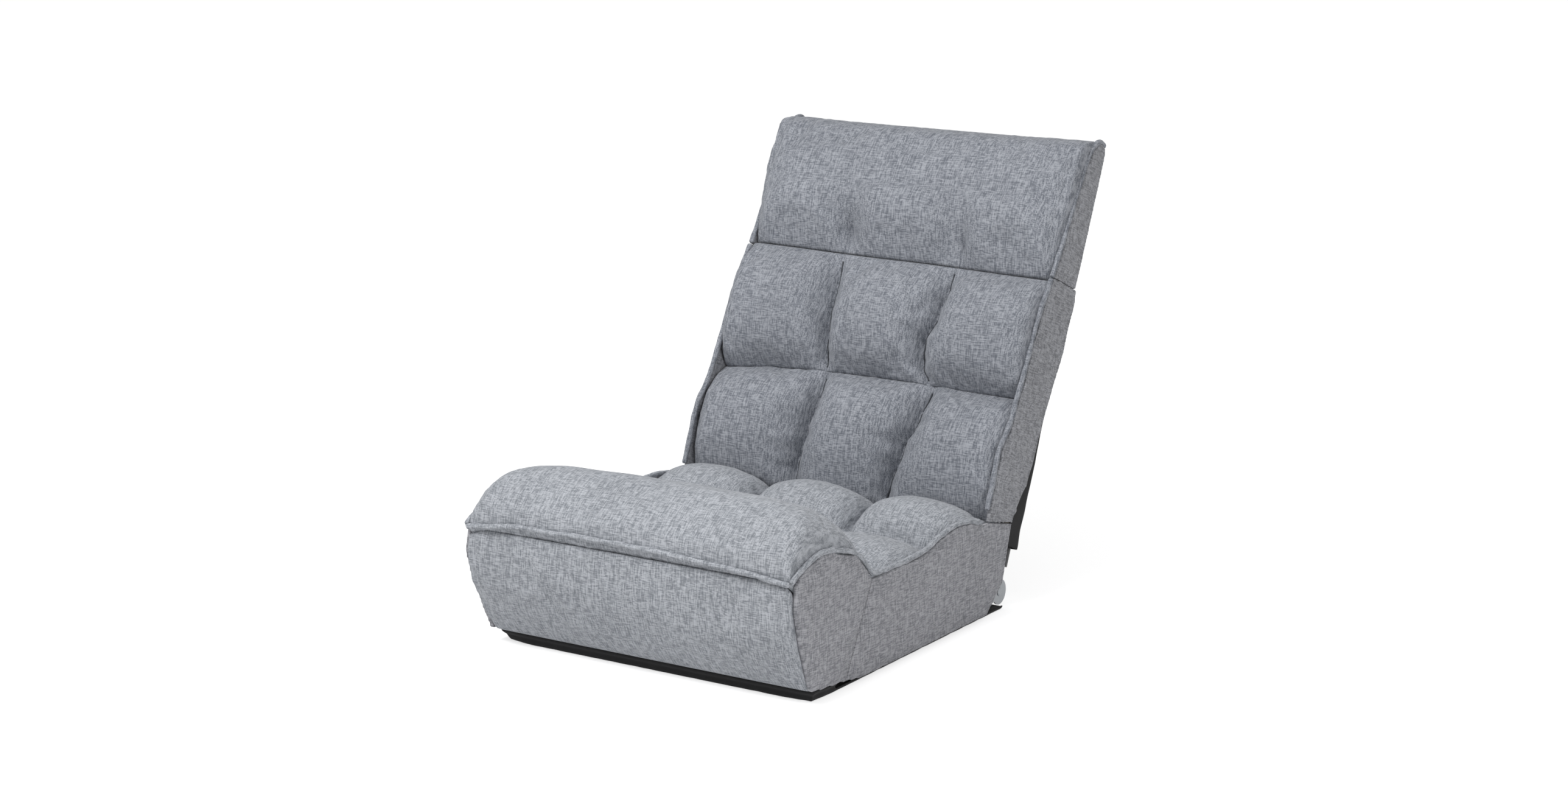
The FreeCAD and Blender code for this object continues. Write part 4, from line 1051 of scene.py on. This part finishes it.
# %% [markdown]
# ## The black underside
# The bottom is closed with black cloth, and a deep black hem stands up all round it. The hem
# is pulled in under the seat, and it turns the two front corners in a curve. Cloth could be
# draped here too, but it lies tight on the foam, so a rule that moves the solid's points will do.

# %% How the bottom turns in
HEM_CORNER = 60 * MM
HEM_SHARES = (0.6, 0.3)
HEM_TOP = 18 * MM
HEM_INSET = 3 * MM
HEM_INSET_FROM = 200 * MM
ROUND_AT_TOP, ROUND_AT_FLOOR = 0.1, 0.7
BOTTOM_HALF = 262 * MM


def turned_in(p):
    """Rounds the front corners, most of all at the floor, and pulls the foot in under the seat."""
    low = ramp(HEM_TOP, 0, p.z)
    inset = HEM_INSET * low * low
    straight = BOTTOM_HALF - HEM_CORNER
    along = [max(0.0, abs(v) - straight) for v in (p.x, p.y)]
    reach = math.hypot(*along)
    share = HEM_SHARES[0 if p.x < 0 else 1] if p.y < 0 else 0
    share *= ROUND_AT_TOP + (ROUND_AT_FLOOR - ROUND_AT_TOP) * low
    scale = 1 + share * (max(along) / reach - 1) if reach > 0 else 1
    moved = [min(abs(v), straight) + a * scale for v, a in zip((p.x, p.y), along)]
    moved = [m - inset * ramp(HEM_INSET_FROM, BOTTOM_HALF, m) for m in moved]
    return Vector((math.copysign(moved[0], p.x), math.copysign(moved[1], p.y), max(p.z, 0)))


corner = turned_in(Vector((BOTTOM_HALF, -BOTTOM_HALF, 0)))
print("the corner at the floor is at", [round(v / MM, 1) for v in corner])

# %% Roll the hem
HEM_SQUARE = 1.8 * MM
HEM_UNEVEN = 0.8 * MM


def rolled_edge(p):
    """How far the hem stands out: a rolled edge at its top and a crease below it."""
    roll = 2.4 * MM * math.exp(-((p.z - 14 * MM) / (3 * MM)) ** 2)
    under = 1.0 * MM * math.exp(-((p.z - 8 * MM) / (2 * MM)) ** 2)
    return roll - under + HEM_UNEVEN * lumps(p.x / 0.02, p.y / 0.02, p.z / 0.008)


bottom_hem = copy_of("bottom_edge_band", "bottom_hem")
even_squares(bottom_hem, HEM_SQUARE)
swell(bottom_hem, rolled_edge)
shape(bottom_hem, turned_in)
finish_piece(bottom_hem, black_cloth)
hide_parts("bottom_edge_band")
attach(bottom_hem, "seat")

# %% The bottom cloth
CLOTH_HALF = 259 * MM
CLOTH_PARTS = 15
bottom_cloth = copy_of("bottom_cover", "bottom_cloth")
cut_across(bottom_cloth.data, CLOTH_HALF, CLOTH_PARTS, (0, 1))
shape(bottom_cloth, turned_in)
finish_piece(bottom_cloth, black_cloth)
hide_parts("bottom_cover")
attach(bottom_cloth, "seat")
print("the bottom cloth has", len(bottom_cloth.data.polygons), "faces")

# %% [markdown]
# ## The cloths at the rear
# The rear of the back is closed with the same black cloth, stretched over the tubes, and the
# rear of the headrest with grey cover. A grey apron spans the fold between seat and back, and
# its place is baked into its mesh. Tightly stretched cloth has no folds of its own, so the
# solids' shapes serve, and only their finish is new.

# %% The rear cloths


def stretched(node, name, material, flat):
    """A cloth in its solid's shape. flat is its width and length as cut, in metres."""
    piece = copy_of(node, name)
    finish_piece(piece, material)
    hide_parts(node)
    print(name, "is cut from", flat[0], "by", flat[1], "m")
    return piece


back_cloth = stretched("back_dust_cloth", "back_cloth", black_cloth, (0.515, 0.371))
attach(back_cloth, "backrest")
head_rear = stretched("head_rear_cover", "head_rear_cloth", seat_weave,
                      (0.523, 0.179))
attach(head_rear, "headrest")
apron = stretched("rear_apron", "apron_cloth", seat_weave, (0.445, 0.2))
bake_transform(apron)

# %% [markdown]
# ## Where the black cloth wraps the tubes
# Behind each side panel the black cloth is drawn round the back's tube and tacked inside it.
# It shows as a dark, wavy edge. A grid is bent: its first part lies flat along the side of the
# back, and the rest goes round the rear of the tube in half an ellipse. Solidify thickens it.

# %% A flat grid


def flat_grid(name, columns, rows, half):
    """A flat mesh of faces in the ground plane, that reaches half to each side."""
    grid = bmesh.new()
    bmesh.ops.create_grid(grid, x_segments=columns, y_segments=rows, size=half)
    mesh = bpy.data.meshes.new(name)
    grid.to_mesh(mesh)
    grid.free()
    return mesh


# %% Wrap the tubes
WRAP_LOW = 66 * MM
WRAP_HIGH = 402 * MM
WRAP_FRONT = 36 * MM
WRAP_FLAT = 0.4
WRAP_LOOSE = 1.4 * MM
WRAP_THICK = 1.2 * MM
TUBE_X = 248 * MM


def wrap(side, name):
    """Black cloth round one tube of the back. side is 1 for the sitter's left, -1 for the right."""
    mesh = flat_grid(name, 14, 110, 0.5)
    piece = in_room(name, mesh)

    def bend(p):
        """Flat along the side first, then round the tube's rear to its inner side."""
        along, u = p.x + 0.5, WRAP_LOW + (WRAP_HIGH - WRAP_LOW) * (p.y + 0.5)
        loose = WRAP_LOOSE * lumps(along * 3, u / 0.028, 7.0 * side)
        angle = math.radians(175) * ramp(WRAP_FLAT, 1, along)
        x = TUBE_X + (14.5 * MM + loose) * math.cos(angle)
        t = WRAP_FRONT * ramp(WRAP_FLAT, 0, along) - 2 * MM - (9.5 * MM + loose) * math.sin(angle)
        return Vector((side * x, -t, u))

    for vertex in mesh.vertices:
        vertex.co = LEANING @ bend(vertex.co)
    thick = piece.modifiers.new("thickness", "SOLIDIFY")
    thick.thickness = WRAP_THICK
    apply_modifiers(piece)
    finish_piece(piece, black_cloth)
    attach(piece, "backrest")
    print(name, len(piece.data.polygons), "faces")


wrap(1, "left_tube_wrap")
wrap(-1, "right_tube_wrap")

# %% [markdown]
# ## Metal parts
# The tubes and hinges keep their exact shapes, so they only get their finishes. What is still
# shown of the solids is metal: the tubes and bars are powder coated, all the rest is plated.

# %% Finish the metal
COATED = ("seat_frame_tube", "seat_cross_bars", "back_tube_left", "back_tube_right",
          "back_cross_bars", "head_frame_tube")
for name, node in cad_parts.items():
    if node.hide_render:
        continue
    finish = powder_coat if name in COATED else zinc_plate
    for slot in node.material_slots:
        slot.material = finish
    print(name, finish.name)

# %% [markdown]
# ## The room
# A pale floor and an even sky, as in a light tent. More light on the chair would only bleach
# it, so the white of the picture comes from what the camera sees: for camera, glossy and
# transmitted rays the floor glows a little and the sky is whole, and the soft shadow stays.

# %% Floor
FLOOR_REACH = 30.0
FLOOR_DROP = 0.5 * MM
FLOOR_LIFT = 0.64
floor_mesh = flat_grid("floor", 1, 1, FLOOR_REACH)
floor = in_room("floor", floor_mesh)
floor.location.z = -FLOOR_DROP


def seen_rays(tree):
    """A node that is 1 where the camera looks, straight or by a reflection or through glass."""
    paths = add(tree, "ShaderNodeLightPath")
    seen = add(tree, "ShaderNodeMath", {"operation": "MAXIMUM"}, {},
               {0: (paths, "Is Camera Ray"), 1: (paths, "Is Glossy Ray")})
    return add(tree, "ShaderNodeMath", {"operation": "MAXIMUM"}, {},
               {0: (seen, 0), 1: (paths, "Is Transmission Ray")})


white_floor, tree, output = new_material("matt_white_floor")
seen = seen_rays(tree)
lift = add(tree, "ShaderNodeMath", {"operation": "MULTIPLY"}, {1: FLOOR_LIFT}, {0: (seen, 0)})
diffuse = add(tree, "ShaderNodeBsdfDiffuse", {}, {"Color": colour("#ececec")})
glow = add(tree, "ShaderNodeEmission", {}, {"Color": (1, 1, 1, 1)}, {"Strength": (lift, 0)})
both = add(tree, "ShaderNodeAddShader", {}, {}, {0: (diffuse, 0), 1: (glow, 0)})
tree.links.new(both.outputs[0], output.inputs[0])
floor_mesh.materials.append(white_floor)
print("the floor lies", FLOOR_DROP / MM, "mm under the chair")

# %% The sky
SKY_ON_CHAIR, SKY_SEEN = 0.43, 1.0
world = bpy.data.worlds.new("even_sky")
bpy.context.scene.world = world
world.use_nodes = True
tree = world.node_tree
tree.nodes.clear()
seen = seen_rays(tree)
level = add(tree, "ShaderNodeMapRange", {}, {1: 0.0, 2: 1.0, 3: SKY_ON_CHAIR, 4: SKY_SEEN},
            {0: (seen, 0)})
sky = add(tree, "ShaderNodeBackground", {}, {"Color": (1, 1, 1, 1)}, {"Strength": (level, 0)})
add(tree, "ShaderNodeOutputWorld", {}, {}, {"Surface": (sky, 0)})
print("the sky lights the chair at", SKY_ON_CHAIR)

# %% [markdown]
# ## Lamps and camera
# One big soft lamp hangs above the chair and in front of it, so that the tops of the cells
# catch the light and the channels fall into shade. A weaker one fills in from the right. The
# camera's place and its long lens were fitted to the chair's own seams and corners.

# %% Lamps


def lamp(name, at, aim, size, power):
    """A square area lamp at a place, turned to face another. size is in metres."""
    data = bpy.data.lights.new(name, "AREA")
    data.size = size
    data.energy = power
    light = in_room(name, data)
    light.location = at
    light.rotation_euler = (Vector(aim) - Vector(at)).to_track_quat("-Z", "Y").to_euler()


CHAIR_MIDDLE = (0, 0, 0.2)
lamp("key_lamp", (-0.5, -1.5, 2.6), CHAIR_MIDDLE, 1.3, 56)
lamp("fill_lamp", (2.6, -1.0, 1.4), CHAIR_MIDDLE, 1.6, 18)
print("lamps:", [light.name for light in bpy.data.lights])

# %% Camera
eye = bpy.data.cameras.new("eye")
eye.lens = 69.9
eye.sensor_width = 36
eye.clip_end = 50
camera = in_room("camera", eye)
camera.location = (2.3216, -3.5066, 1.2889)
camera.rotation_euler = (math.radians(77.18), 0, math.radians(32.976))
bpy.context.scene.camera = camera
bpy.context.scene.view_settings.view_transform = "Standard"
print("the lens is", round(eye.lens, 1), "mm long")
